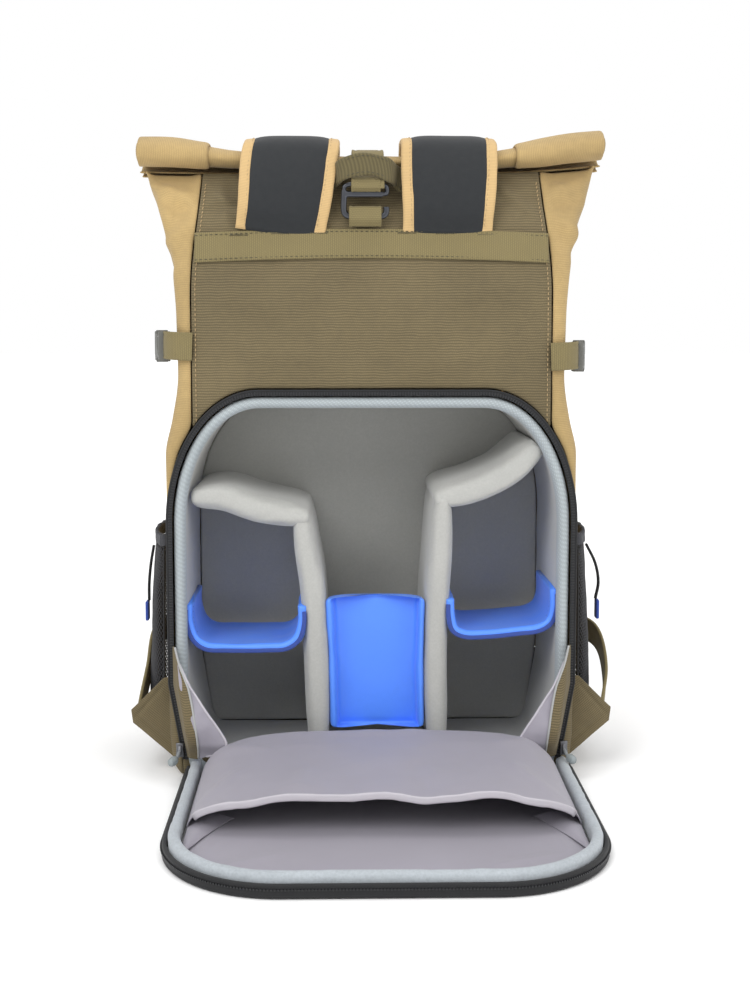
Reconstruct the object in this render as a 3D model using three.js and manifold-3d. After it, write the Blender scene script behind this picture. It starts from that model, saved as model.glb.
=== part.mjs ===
// A roll-top camera backpack standing upright with its back access flap open and laid on the floor.
// Millimetres, +Z up. The back plane is y = 0, the flap runs towards -Y, the front of the bag is at +Y.
// The origin is on the floor, in the middle of the bag's own base.

import * as THREE from 'three';
import { mergeVertices } from 'three/addons/utils/BufferGeometryUtils.js';
import Module from 'manifold-3d';

const wasm = await Module();
wasm.setup();

// Driving dimensions of the bag
const bagWidth = 284; // outside, across the camera compartment
const bagDepth = 150; // back plane to front
const neckHeight = 418; // floor to the closed mouth, under the roll
const canvas = 2.2; // a canvas wall
const gap = 0.35; // between pieces that touch
const bootHeight = 62; // the base cloth's height up the walls
const cornerBack = 9; // seam radius along the back edges
const cornerFront = 28; // softer radius along the front edges
const seamBack = 123; // half the back panel's width
const seamTaper = 6; // how much narrower the panels are at the mouth
const seamFront = 104; // half the front panel's width
const frontBulge = 7; // how far the front panel is rounded outwards
const mouthLiftLeft = 1; // how far the mouth's left end stands above its middle
const mouthLiftRight = 6;

// Rolled top
const rollLength = 322;
const rollAcross = 44; // depth of the flattened roll at its middle
const rollTall = 14; // height of the roll at its middle, under the straps
const rollEndGrowth = 11; // how much taller the roll is at its ends
const rollTurns = 1.5;
const rollHeart = 3.2; // what is left of the roll's half height inside the last turn

// Opening and camera compartment
const openingWidth = 283; // outside of the zip
const openingTop = 271;
const hingeHeight = 14.4; // floor to the zip's lower ends, above the flap's rim
const openingFoot = 264; // width of the opening at the hinge
const footRise = 53; // height over which the opening widens to its full width
const shoulderAcross = 64; // the opening's rounded corners, sideways
const shoulderUp = 92; // and upwards
const zipWidth = 4.5;
const zipProud = 4.5; // how far the zip stands out of the back plane
const zipDepth = 4.2; // how far it is let into the walls
const foam = 8; // the liner's padded wall
const linerDepth = 128;
const linerProud = 0;

// Dividers
const dividerFoam = 15;
const dividerFront = 6; // the dividers' front edges, behind the back plane
const padCloth = 5.5; // the small blue pads
const padDepth = 84;

// Flap
const flapWidth = 270;
const flapLength = 238;
const flapShift = 5; // the flap lies a little to the right
const flapShoulderAcross = 74;
const flapShoulderOut = 86;
const flapPadding = 6;
const flapRimTall = 14;
const flapRim = 7.5;
const flapZipWidth = 3.6;
const flapZipTall = 8.5;
const pocketReach = 146; // hinge to the pocket's mouth
const pocketTall = 33; // the pocket's height above the flap's padding
const pocketCloth = 3;

// Straps
const strapWidth = 46; // the dark pad between its two bindings
const strapThick = 9;
const strapBinding = 7.2;
const strapFoot = 56.5; // the straps' centre line at the band
const strapShift = -3;
const strapEnd = 150; // floor to the padded strap's free end
const webbing = 24;
const webbingThick = 1.8;
const sideWebbing = 18;
const bandTall = 21;
const bandDrop = 62; // from the mouth down to the band's lower edge
const bandLow = neckHeight - bandDrop;
const handleTall = 15;
const handleThick = 2.6;

// Side pockets and wings
const pouchLow = 24;
const pouchTop = 160;
const pouchBack = 20;
const pouchFront = 124;
const pouchBulge = 18;
const meshCloth = 1.6;
const wingReach = 27; // how far a wing stands out of the side
const wingCloth = 3;

// Colours, as sRGB
const finishes = {
  tan: { color: 0xc9a271, roughness: 0.9, metalness: 0 },
  olive: { color: 0x7d7655, roughness: 0.92, metalness: 0 },
  webbing: { color: 0x837f5c, roughness: 0.88, metalness: 0 },
  black: { color: 0x24262a, roughness: 0.8, metalness: 0 },
  neoprene: { color: 0x3a3e45, roughness: 0.85, metalness: 0 },
  lining: { color: 0xb4b3ad, roughness: 0.9, metalness: 0 },
  binding: { color: 0xa3aaac, roughness: 0.85, metalness: 0 },
  mauve: { color: 0xaaa5a9, roughness: 0.8, metalness: 0 },
  blue: { color: 0x3a66dd, roughness: 0.7, metalness: 0 },
  plastic: { color: 0x8b8d93, roughness: 0.45, metalness: 0 },
  metal: { color: 0x85868c, roughness: 0.35, metalness: 0.8 },
};

const bag = new THREE.Group();

// Every piece is one named mesh in the bag's own frame.
function add(name, finish, geometry) {
  const mesh = new THREE.Mesh(geometry, new THREE.MeshStandardMaterial(finishes[finish]));
  mesh.name = name;
  bag.add(mesh);
  return mesh;
}

const lerp = THREE.MathUtils.lerp;
const clamp = THREE.MathUtils.clamp;
const smoothstep = THREE.MathUtils.smoothstep;
const vec = (x, y, z) => new THREE.Vector3(x, y, z);
const sides = [
  { side: 'left', sign: -1 },
  { side: 'right', sign: 1 },
];

// Turns a closed surface so that its faces point outwards.
function outward(geometry) {
  const p = geometry.getAttribute('position');
  const index = geometry.index.array;
  let volume = 0;
  const a = new THREE.Vector3();
  const b = new THREE.Vector3();
  const c = new THREE.Vector3();
  for (let i = 0; i < index.length; i += 3) {
    a.fromBufferAttribute(p, index[i]);
    b.fromBufferAttribute(p, index[i + 1]);
    c.fromBufferAttribute(p, index[i + 2]);
    volume += a.dot(b.cross(c));
  }
  if (volume < 0) {
    for (let i = 0; i < index.length; i += 3) {
      [index[i], index[i + 1]] = [index[i + 1], index[i]];
    }
  }
  return geometry;
}

function surface(points, triangles) {
  const geometry = new THREE.BufferGeometry();
  const positions = new Float32Array(points.flatMap((p) => [p.x, p.y, p.z]));
  geometry.setAttribute('position', new THREE.BufferAttribute(positions, 3));
  geometry.setIndex(triangles);
  return outward(geometry);
}

// A closed wall between two equal grids of points, the outer and the inner face of a cloth.
function slab(outer, inner) {
  const rows = outer.length;
  const cols = outer[0].length;
  const at = (face, i, j) => (face * rows + i) * cols + j;
  const triangles = [];
  const quad = (a, b, c, d) => triangles.push(a, b, c, a, c, d);
  for (let i = 0; i < rows - 1; i++) {
    for (let j = 0; j < cols - 1; j++) {
      quad(at(0, i, j), at(0, i, j + 1), at(0, i + 1, j + 1), at(0, i + 1, j));
      quad(at(1, i, j), at(1, i + 1, j), at(1, i + 1, j + 1), at(1, i, j + 1));
    }
  }
  for (let i = 0; i < rows - 1; i++) {
    quad(at(0, i, 0), at(0, i + 1, 0), at(1, i + 1, 0), at(1, i, 0));
    quad(at(0, i, cols - 1), at(1, i, cols - 1), at(1, i + 1, cols - 1), at(0, i + 1, cols - 1));
  }
  for (let j = 0; j < cols - 1; j++) {
    quad(at(0, 0, j), at(1, 0, j), at(1, 0, j + 1), at(0, 0, j + 1));
    quad(at(0, rows - 1, j), at(0, rows - 1, j + 1), at(1, rows - 1, j + 1), at(1, rows - 1, j));
  }
  return surface([...outer.flat(), ...inner.flat()], triangles);
}

// A closed solid through rings of points. Its ends are filled from a middle point, or as a ladder
// between the ring's first half and its second.
function loft(rings, fromMiddle = false) {
  const n = rings[0].length;
  const last = (rings.length - 1) * n;
  const points = rings.flat();
  const triangles = [];
  const quad = (a, b, c, d) => triangles.push(a, b, c, a, c, d);
  for (let a = 0; a < last; a += n) {
    for (let j = 0; j < n; j++) {
      const k = (j + 1) % n;
      quad(a + j, a + k, a + n + k, a + n + j);
    }
  }
  if (fromMiddle) {
    for (const start of [0, last]) {
      const middle = points.length;
      const ring = points.slice(start, start + n);
      points.push(ring.reduce((sum, p) => sum.add(p), vec(0, 0, 0)).divideScalar(n));
      for (let j = 0; j < n; j++) {
        const k = (j + 1) % n;
        if (start) triangles.push(middle, start + j, start + k);
        else triangles.push(middle, k, j);
      }
    }
  } else {
    for (let j = 0; j < n / 2 - 1; j++) {
      quad(j + 1, j, n - 1 - j, n - 2 - j);
      quad(last + j, last + j + 1, last + n - 2 - j, last + n - 1 - j);
    }
  }
  return surface(points, triangles);
}

// A strip along a path: side gives the direction of its width and profile its section,
// as points across the width and through the thickness.
function strip(points, steps, side, profile) {
  const curve = new THREE.CatmullRomCurve3(points, false, 'centripetal');
  const rings = [];
  for (let i = 0; i <= steps; i++) {
    const share = i / steps;
    const centre = curve.getPointAt(share);
    const along = curve.getTangentAt(share);
    const across = side(centre, along);
    across.addScaledVector(along, -across.dot(along)).normalize();
    const through = new THREE.Vector3().crossVectors(along, across).normalize();
    rings.push(
      profile(share).map((p) =>
        centre.clone().addScaledVector(across, p.x).addScaledVector(through, p.y),
      ),
    );
  }
  return loft(rings);
}

// A flat webbing's section, with eased edges.
function webbingProfile(width, thick) {
  const w = width / 2;
  const t = thick / 2;
  const ease = Math.min(t, 0.6);
  return [
    new THREE.Vector2(-w, -t + ease),
    new THREE.Vector2(-w + ease, -t),
    new THREE.Vector2(w - ease, -t),
    new THREE.Vector2(w, -t + ease),
    new THREE.Vector2(w, t - ease),
    new THREE.Vector2(w - ease, t),
    new THREE.Vector2(-w + ease, t),
    new THREE.Vector2(-w, t - ease),
  ];
}

// Booleans
function solid(geometry) {
  const bare = geometry.clone();
  bare.deleteAttribute('normal');
  bare.deleteAttribute('uv');
  const merged = mergeVertices(bare, 1e-3);
  return new wasm.Manifold(
    new wasm.Mesh({
      numProp: 3,
      vertProperties: merged.getAttribute('position').array,
      triVerts: new Uint32Array(merged.index.array),
    }),
  );
}

function geometryOf(made) {
  const mesh = made.getMesh();
  const geometry = new THREE.BufferGeometry();
  geometry.setAttribute('position', new THREE.BufferAttribute(mesh.vertProperties, 3));
  geometry.setIndex(new THREE.BufferAttribute(mesh.triVerts, 1));
  return geometry;
}

function cut(geometry, ...tools) {
  return geometryOf(tools.reduce((body, tool) => body.subtract(solid(tool)), solid(geometry)));
}

// An upright outline in x and z, given a thickness along y.
function upright(outline, nearY, farY) {
  const shape = new THREE.Shape(outline);
  const options = { depth: farY - nearY, bevelEnabled: false };
  return new THREE.ExtrudeGeometry(shape, options).rotateX(Math.PI / 2).translate(0, farY, 0);
}

// A lying outline in x and y, given a thickness along z.
function lying(outline, low, high) {
  const options = { depth: high - low, bevelEnabled: false };
  return new THREE.ExtrudeGeometry(new THREE.Shape(outline), options).translate(0, 0, low);
}

function block(low, high) {
  const size = high.clone().sub(low);
  const middle = high.clone().add(low).multiplyScalar(0.5);
  return new THREE.BoxGeometry(size.x, size.y, size.z).translate(middle.x, middle.y, middle.z);
}

// The bag's body, as sections from the floor to the mouth. up is a share of neckHeight, half of
// half the bag's width, back and front of its depth.
const sections = [
  { up: 0, half: 0.955, back: 0.03, front: 0.955 },
  { up: 0.025, half: 0.988, back: 0.004, front: 0.99 },
  { up: 0.075, half: 1, back: 0, front: 1 },
  { up: 0.3, half: 1, back: 0, front: 1.015 },
  { up: 0.54, half: 1, back: 0, front: 1.01 },
  { up: 0.6, half: 0.963, back: 0, front: 0.99 },
  { up: 0.67, half: 0.935, back: 0, front: 0.945 },
  { up: 0.77, half: 0.942, back: 0.004, front: 0.865 },
  { up: 0.84, half: 0.961, back: 0.014, front: 0.785 },
  { up: 0.915, half: 1.008, back: 0.07, front: 0.655 },
  { up: 0.965, half: 1.064, back: 0.15, front: 0.495 },
  { up: 1, half: 1.12, back: 0.235, front: 0.315 },
];

function bodyAt(z) {
  const up = clamp(z / neckHeight, 0, 1);
  const k = Math.max(1, sections.findIndex((s) => s.up >= up - 1e-9));
  const low = sections[k - 1];
  const high = sections[k];
  const share = (up - low.up) / (high.up - low.up);
  return {
    half: (lerp(low.half, high.half, share) * bagWidth) / 2,
    back: lerp(low.back, high.back, share) * bagDepth,
    front: lerp(low.front, high.front, share) * bagDepth,
  };
}

const backSeamAt = (z) => seamBack - seamTaper * smoothstep(z / neckHeight, 0.8, 1);
const frontSeamAt = (z) => seamFront + (backSeamAt(z) - seamBack);

// The mouth's ends stand higher than its middle, and the cloth below follows.
function liftAt(x, z) {
  const reach = Math.abs(x) / (rollLength / 2);
  const most = x < 0 ? mouthLiftLeft : mouthLiftRight;
  return most * reach ** 3 * smoothstep(z / neckHeight, 0.94, 1);
}

const lifted = (x, y, z) => vec(x, y, z + liftAt(x, z));

function levels(low, high) {
  const between = sections.map((s) => s.up * neckHeight).filter((z) => z > low + 1 && z < high - 1);
  return [low, ...between, high];
}

const arcSteps = 4;

// One side's section from the back seam round to the front seam, inset from the outer face.
function sideSection(z, inset) {
  const { half, back, front } = bodyAt(z);
  const room = (front - back) / 2 - 0.1;
  const rBack = Math.min(cornerBack, room);
  const rFront = Math.min(cornerFront, room);
  const points = [new THREE.Vector2(backSeamAt(z), back + inset)];
  const arc = (cx, cy, radius, from) => {
    for (let i = 0; i <= arcSteps; i++) {
      const a = from + ((Math.PI / 2) * i) / arcSteps;
      const r = Math.max(radius - inset, 0.3);
      points.push(new THREE.Vector2(cx + r * Math.cos(a), cy + r * Math.sin(a)));
    }
  };
  arc(half - rBack, back + rBack, rBack, -Math.PI / 2);
  const middle = (back + rBack + front - rFront) / 2;
  points.push(new THREE.Vector2(half - inset, middle));
  arc(half - rFront, front - rFront, rFront, 0);
  points.push(new THREE.Vector2(frontSeamAt(z), front - inset));
  return points;
}

function sidePanel(sign, low, high, wall) {
  const face = (inset) =>
    levels(low, high).map((z) => sideSection(z, inset).map((p) => lifted(sign * p.x, p.y, z)));
  return slab(face(0), face(wall));
}

const frontAt = (x, z) => {
  const seam = frontSeamAt(z);
  const full = 1 - clamp(Math.abs(x) / seam, 0, 1) ** 2;
  const closing = 1 - smoothstep(z / neckHeight, 0.8, 1);
  return bodyAt(z).front + frontBulge * full * closing * smoothstep(z, 0, bootHeight);
};

function frontPanel(low, high, wall) {
  const shares = [-1, -0.75, -0.5, -0.25, 0, 0.25, 0.5, 0.75, 1];
  const face = (inset) =>
    levels(low, high).map((z) =>
      shares.map((s) => {
        const x = s * (frontSeamAt(z) - gap);
        return lifted(x, frontAt(x, z) - inset, z);
      }),
    );
  return slab(face(0), face(wall));
}

function backPanel(low, high, wall) {
  const shares = [-1, -0.72, -0.45, -0.2, 0, 0.2, 0.45, 0.72, 1];
  const face = (inset) =>
    levels(low, high).map((z) =>
      shares.map((s) => {
        const x = s * (backSeamAt(z) - gap);
        return lifted(x, bodyAt(z).back + inset, z);
      }),
    );
  return slab(face(0), face(wall));
}

// The whole body's outline at a height, for the boot and for what must stay clear of the body.
function bodyRing(z, inset) {
  const right = sideSection(z, inset);
  const seam = frontSeamAt(z);
  const across = [0.6, 0.2, -0.2, -0.6].map((s) =>
    new THREE.Vector2(s * seam, frontAt(s * seam, z) - inset),
  );
  const left = right.map((p) => new THREE.Vector2(-p.x, p.y)).reverse();
  return [...right, ...across, ...left];
}

function bodySolid(low, high, inset) {
  const rings = levels(low, high).map((z) => bodyRing(z, inset).map((p) => vec(p.x, p.y, z)));
  return loft(rings, true);
}

// An arch: feet at the base, straight sides, wide round shoulders and a flat top.
function archOutline(arch, inset, base = arch.base) {
  const { half, foot, top, rise, across, up } = arch;
  const right = [];
  const footShare = clamp((base - arch.base) / rise, 0, 1);
  right.push(new THREE.Vector2(lerp(foot, half, footShare) - inset, base));
  right.push(new THREE.Vector2(half - inset, arch.base + rise));
  const steps = 8;
  for (let i = 0; i <= steps; i++) {
    const a = ((Math.PI / 2) * i) / steps;
    const x = half - across + (across - inset) * Math.cos(a);
    const y = top - up + (up - inset) * Math.sin(a);
    right.push(new THREE.Vector2(x, y));
  }
  const left = right.map((p) => new THREE.Vector2(-p.x, p.y)).reverse();
  return [...right, ...left];
}

const opening = {
  half: openingWidth / 2,
  foot: openingFoot / 2,
  base: hingeHeight,
  rise: footRise,
  top: openingTop,
  across: shoulderAcross,
  up: shoulderUp,
};

// The zip is let into the walls around the opening, so each wall is cut back round it.
const seatBase = hingeHeight - gap;
const zipSeat = () =>
  upright(archOutline({ ...opening, base: seatBase }, -gap), -bagDepth, zipDepth + gap);

function buildShell() {
  const walls = bootHeight + gap;
  const backFoot = openingTop - shoulderUp * 0.62; // where the arch meets the back panel's edges
  add('back_panel', 'olive', cut(backPanel(backFoot, neckHeight, canvas), zipSeat()));
  for (const { side, sign } of sides) {
    add(`side_panel_${side}`, 'tan', cut(sidePanel(sign, walls, neckHeight, canvas), zipSeat()));
  }
  add('front_panel', 'tan', frontPanel(walls, neckHeight, canvas));
  const inside = bodySolid(canvas, bootHeight + 10, canvas);
  const seatOutline = archOutline(linerArch, linerInset - gap, linerBase - gap);
  const linerSeat = upright(seatOutline, -bagDepth, cornerBack * 2);
  add('base_boot', 'olive', cut(bodySolid(0, bootHeight, 0), inside, zipSeat(), linerSeat));
}

// The roll: one cloth wound on itself, larger at its ends, resting on the mouth.
function rollSection(halfAcross, halfTall) {
  const perTurn = 12;
  const steps = perTurn * rollTurns;
  const pitch = (halfTall - rollHeart) / rollTurns;
  const at = (i, inwards) => {
    const turned = i / perTurn;
    const a = 2 * Math.PI * turned - Math.PI / 2;
    const less = pitch * turned + inwards;
    return new THREE.Vector2((halfAcross - less) * Math.cos(a), (halfTall - less) * Math.sin(a));
  };
  const outer = [];
  const inner = [];
  for (let i = 0; i <= steps; i++) {
    outer.push(at(i, 0));
    inner.push(at(i, canvas));
  }
  return [...outer, ...inner.reverse()];
}

const mouth = bodyAt(neckHeight);
const rollMiddleY = (mouth.back + mouth.front) / 2;
const rollGrowth = (x) =>
  rollEndGrowth * smoothstep(Math.abs(x), (0.33 * rollLength) / 2, (0.93 * rollLength) / 2);
const rollHalfTall = (x) => (rollTall + rollGrowth(x)) / 2;
const rollHalfAcross = (x) => (rollAcross + rollGrowth(x) * 0.4) / 2;
const rollMiddleZ = (x) => neckHeight + liftAt(x, neckHeight) + gap + rollHalfTall(x);

function buildRoll() {
  const shares = [-1, -0.86, -0.7, -0.5, -0.3, 0, 0.3, 0.5, 0.7, 0.86, 1];
  const rings = shares.map((s) => {
    const x = (s * rollLength) / 2;
    return rollSection(rollHalfAcross(x), rollHalfTall(x)).map((p) =>
      vec(x, rollMiddleY + p.x, rollMiddleZ(x) + p.y),
    );
  });
  add('roll_top', 'tan', loft(rings));
}

// The padded liner, open towards the back, with the zip round its mouth.
const linerInset = zipWidth + gap;
const linerBase = canvas + gap;
const linerFloor = linerBase + foam;
const linerArch = {
  ...opening,
  base: linerBase,
  foot: opening.foot - ((opening.half - opening.foot) * (hingeHeight - linerBase)) / footRise,
  rise: footRise + hingeHeight - linerBase,
};
const innerInset = linerInset + foam;
const baySpan = openingWidth / 2 - innerInset; // from the middle to the liner's inner wall
const bayBack = linerDepth - foam; // the liner's inner back face

function buildCompartment() {
  const shell = upright(archOutline(linerArch, linerInset), -linerProud, linerDepth);
  const room = upright(archOutline(linerArch, innerInset, linerFloor), -linerProud - 1, bayBack);
  add('compartment_liner', 'lining', cut(shell, room));
  const band = upright(archOutline(opening, 0), -zipProud, zipDepth);
  const hole = upright(archOutline(opening, zipWidth, hingeHeight - 1), -bagDepth, bagDepth);
  add('opening_zip', 'black', cut(band, hole));
}

// A padded board whose front edge follows a line of points in x and z, as deep as it is told.
function board(line, thick, nearY, farY) {
  const curve = new THREE.CatmullRomCurve3(line.map((p) => vec(p.x, 0, p.z)));
  const steps = 10;
  const upper = [];
  const lower = [];
  for (let i = 0; i <= steps; i++) {
    const share = i / steps;
    const p = curve.getPoint(share);
    const along = curve.getTangent(share);
    const full = 1 - 0.35 * Math.abs(2 * share - 1) ** 4;
    const half = (thick / 2) * full;
    upper.push(new THREE.Vector2(p.x - along.z * half, p.z + along.x * half));
    lower.push(new THREE.Vector2(p.x + along.z * half, p.z - along.x * half));
  }
  return upright([...lower, ...upper.reverse()], nearY, farY);
}

// The dividers' front edges. x is a share of the bay's half width, z of the opening's height.
const dividerLines = {
  upright_left: [
    { x: -0.375, z: 0.63 },
    { x: -0.325, z: 0.5 },
    { x: -0.305, z: 0.3 },
    { x: -0.29, z: 0.045 },
  ],
  upright_right: [
    { x: 0.38, z: 0.655 },
    { x: 0.365, z: 0.48 },
    { x: 0.35, z: 0.28 },
    { x: 0.36, z: 0.045 },
  ],
  shelf_left: [
    { x: -0.985, z: 0.72 },
    { x: -0.82, z: 0.722 },
    { x: -0.6, z: 0.69 },
    { x: -0.36, z: 0.675 },
  ],
  shelf_right: [
    { x: 0.36, z: 0.73 },
    { x: 0.56, z: 0.745 },
    { x: 0.75, z: 0.79 },
    { x: 0.905, z: 0.858 },
  ],
};

const lineOf = (rows) => rows.map((p) => ({ x: p.x * baySpan, z: p.z * openingTop }));

function buildDividers() {
  const clearances = {
    upright_left: dividerFoam,
    upright_right: dividerFoam,
    shelf_left: dividerFoam + 1,
    shelf_right: dividerFoam + 3,
  };
  const keepClear = upright(
    archOutline(linerArch, innerInset + gap, linerFloor + gap),
    -bagDepth,
    bagDepth * 2,
  );
  const shelves = {};
  for (const [name, rows] of Object.entries(dividerLines)) {
    const made = board(lineOf(rows), clearances[name], dividerFront, bayBack - gap);
    shelves[name] = solid(made).intersect(solid(keepClear));
  }
  // Each upright stops short of the shelf that rests on it.
  for (const side of ['left', 'right']) {
    const clearance = clearances[`shelf_${side}`] + 2 * gap;
    const shelf = board(lineOf(dividerLines[`shelf_${side}`]), clearance, 0, bagDepth);
    const left = shelves[`upright_${side}`].subtract(solid(shelf));
    const whole = left.decompose().sort((a, b) => b.volume() - a.volume())[0];
    add(`divider_upright_${side}`, 'lining', geometryOf(whole));
    add(`divider_shelf_${side}`, 'lining', geometryOf(shelves[`shelf_${side}`]));
  }
}

// A small pad folded up at both ends, given as the line of its fold and a width to each side.
function foldedPad(points, thick, nearY, farY) {
  const outer = points.map((p) => new THREE.Vector2(p.x, p.z));
  const inner = outer.map((p, i) => {
    const before = outer[Math.max(0, i - 1)];
    const after = outer[Math.min(outer.length - 1, i + 1)];
    const along = after.clone().sub(before).normalize();
    return new THREE.Vector2(p.x - along.y * thick, p.y + along.x * thick);
  });
  return upright([...outer, ...inner.reverse()], nearY, farY);
}

const uprightFace = (side, share) => {
  const sign = side === 'left' ? -1 : 1;
  const rows = lineOf(dividerLines[`upright_${side}`]);
  const curve = new THREE.CatmullRomCurve3(rows.map((p) => vec(p.x, 0, p.z)));
  return curve.getPoint(share).x + (sign * dividerFoam) / 2;
};

const padFoot = 90; // the side pads' undersides, above the floor
const padFold = 30; // how high their ends are folded up
const centreLow = 31;
const centreTall = 95;
const centreSet = 17; // the centre pad's face, behind the dividers' front edges

function buildPads() {
  const wall = baySpan - gap * 2;
  const inLeft = uprightFace('left', 0.55) - gap * 2;
  const inRight = uprightFace('right', 0.5) + gap * 2;
  const nearY = dividerFront + 2;
  const low = padFoot;
  const left = [
    { x: -wall, z: low + padFold },
    { x: -wall + padFold * 0.17, z: low + padFold * 0.2 },
    { x: -wall + padFold * 0.3, z: low },
    { x: inLeft - padFold * 0.4, z: low },
    { x: inLeft - padFold * 0.23, z: low + padFold * 0.2 },
    { x: inLeft - padFold * 0.07, z: low + padFold * 0.97 },
  ];
  add('pad_left', 'blue', foldedPad(left, padCloth, nearY, nearY + padDepth));
  const tilt = padFold * 0.3;
  const right = [
    { x: inRight + padFold * 0.03, z: low + padFold + tilt * 0.33 },
    { x: inRight + padFold * 0.07, z: low + tilt * 1.55 },
    { x: inRight + padFold * 0.17, z: low + tilt },
    { x: wall - padFold * 0.3, z: low + tilt * 1.45 },
    { x: wall - padFold * 0.17, z: low + tilt * 2 },
    { x: wall, z: low + padFold + tilt },
  ];
  add('pad_right', 'blue', foldedPad(right, padCloth, nearY, nearY + padDepth));
  buildCentrePad();
}

// The centre pad stands upright between the two dividers with its ends folded forwards along them.
function buildCentrePad() {
  const facing = dividerFront + centreSet;
  const rows = 5;
  const outer = [];
  const inner = [];
  for (let i = 0; i <= rows; i++) {
    const share = i / rows;
    const z = centreLow + share * centreTall;
    const along = 1 - (z / openingTop - 0.045) / (0.64 - 0.045);
    const xl = uprightFace('left', along) + dividerFoam + gap * 4;
    const xr = uprightFace('right', along) - dividerFoam - gap * 4;
    const t = padCloth;
    const tips = share === 1 ? 8 : 0;
    outer.push([
      vec(xl, dividerFront + 3, z + tips),
      vec(xl, facing, z + tips * 0.6),
      vec(xl + t, facing + t, z),
      vec(xr - t, facing + t, z),
      vec(xr, facing, z + tips * 0.4),
      vec(xr, dividerFront + 3, z + tips * 0.7),
    ]);
    inner.push([
      vec(xl + t * 0.8, dividerFront + 3, z + tips),
      vec(xl + t * 0.8, facing - t * 0.5, z + tips * 0.6),
      vec(xl + t * 1.6, facing, z),
      vec(xr - t * 1.6, facing, z),
      vec(xr - t * 0.8, facing - t * 0.5, z + tips * 0.4),
      vec(xr - t * 0.8, dividerFront + 3, z + tips * 0.7),
    ]);
  }
  add('pad_centre', 'blue', slab(outer, inner));
}

// The flap lies on the floor in front of its hinge: padding, rim binding, zip and a pocket.
const flapArch = {
  half: flapWidth / 2,
  foot: flapWidth / 2,
  base: gap,
  rise: 10,
  top: flapLength,
  across: flapShoulderAcross,
  up: flapShoulderOut,
};

function flapOutline(inset, base = flapArch.base) {
  return archOutline(flapArch, inset, base).map((p) => new THREE.Vector2(p.x + flapShift, -p.y));
}

function flapRing(outerInset, innerInset2, low, high) {
  const ring = lying(flapOutline(outerInset), low, high);
  return cut(ring, lying(flapOutline(innerInset2, flapArch.base - 3), low - 1, high + 1));
}

function buildFlap() {
  const rimInset = flapZipWidth + gap;
  const floorInset = rimInset + flapRim + gap;
  add('flap_panel', 'mauve', lying(flapOutline(floorInset), 0, flapPadding));
  add('flap_rim', 'binding', flapRing(rimInset, rimInset + flapRim, 0, flapRimTall));
  add('flap_zip', 'black', flapRing(0, flapZipWidth, 0, flapZipTall));
  buildFlapPocket(floorInset);
}

function buildFlapPocket(floorInset) {
  const half = flapWidth / 2 - floorInset - gap;
  const across = [-1, -0.985, -0.94, -0.85, -0.7, -0.45, -0.15, 0.15, 0.45, 0.7, 0.85, 0.94, 0.985, 1];
  const along = [0, 0.03, 0.08, 0.16, 0.3, 0.5, 0.7, 0.88, 1];
  const face = (inset) =>
    along.map((t) =>
      across.map((s) => {
        const rise = Math.min(1, Math.sin(Math.min(t / 0.16, 1) * (Math.PI / 2)));
        const slope = 1 - 0.3 * Math.max(0, t - 0.16);
        const dome = (1 - Math.abs(s) ** 5) ** 0.6;
        const tall = (pocketTall * slope - inset) * dome * (t === 0 ? 0 : rise);
        const reach = pocketReach - 12 * Math.abs(s) ** 8;
        const startY = flapArch.base + 3 + (t < 1 ? inset : 0) * (1 - t);
        return vec(
          flapShift + s * (half - inset),
          -lerp(startY, reach, t),
          flapPadding + gap + Math.max(0, tall),
        );
      }),
    );
  add('flap_pocket', 'mauve', slab(face(0), face(pocketCloth)));
}

// The cloth gussets between the opening and the flap: a strip from the zip to a crease, then a
// triangle that folds back to the flap's corner.
const gussetTall = 80; // from the zip's lower end up
const gussetIn = 33; // how far its corner reaches in over the compartment
const gussetOut = 19; // and out over the flap
const gussetRows = [
  { up: 1, crease: 0.15, creaseOut: 0.42, free: 0.21, freeOut: 0.44 },
  { up: 0.77, crease: 0.18, creaseOut: 0.53, free: 0.36, freeOut: 0.53 },
  { up: 0.55, crease: 0.18, creaseOut: 0.58, free: 0.58, freeOut: 0.68 },
  { up: 0.38, crease: 0.167, creaseOut: 0.53, free: 0.88, freeOut: 0.9 },
  { up: 0.3, crease: 0.15, creaseOut: 0.47, free: 1, freeOut: 1 },
  { up: 0.16, crease: 0.106, creaseOut: 0.32, free: 0.45, freeOut: 0.47 },
  { up: 0.05, crease: 0.06, creaseOut: 0.16, free: 0.13, freeOut: 0.18 },
];
const gussetCloth = 1.2;

// Where the zip's inner edge stands at a height, on the straight stretch above the hinge.
function zipInnerAt(z) {
  const share = clamp((z - hingeHeight) / footRise, 0, 1);
  return lerp(openingFoot / 2, openingWidth / 2, share) - zipWidth;
}

function buildGussets() {
  for (const { side, sign } of sides) {
    const face = (inset) =>
      gussetRows.map((row) => {
        const z = hingeHeight + row.up * gussetTall;
        const zipX = zipInnerAt(z) - gap;
        const out = zipProud + gap;
        const crease = row.crease * gussetIn;
        const free = row.free * gussetIn;
        return [
          vec(sign * (zipX - inset), -out, z),
          vec(
            sign * (zipX - crease - inset * 0.8),
            -out - row.creaseOut * gussetOut + inset * 0.8,
            z,
          ),
          vec(sign * (zipX - free - inset * 0.4), -out - row.freeOut * gussetOut + inset, z),
        ];
      });
    add(`gusset_${side}`, 'mauve', slab(face(0), face(gussetCloth)));
  }
}

// A mesh pouch on each side, open at the top, with an elastic hem.
function pouchPoint(sign, t, v, inset) {
  const z = lerp(pouchLow + inset, pouchTop, v);
  const y = lerp(pouchBack + inset, pouchFront - inset, t);
  const plan = Math.sin(Math.PI * clamp(t, 0, 1)) ** 0.42;
  const belly = v === 0 ? 0 : Math.min(1, (v / 0.14) ** 0.5) * (1 - 0.36 * v ** 2.2);
  const stand = Math.max(0, pouchBulge - inset) * plan * belly;
  return vec(sign * (bodyAt(z).half + gap + stand), y, z);
}

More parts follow.
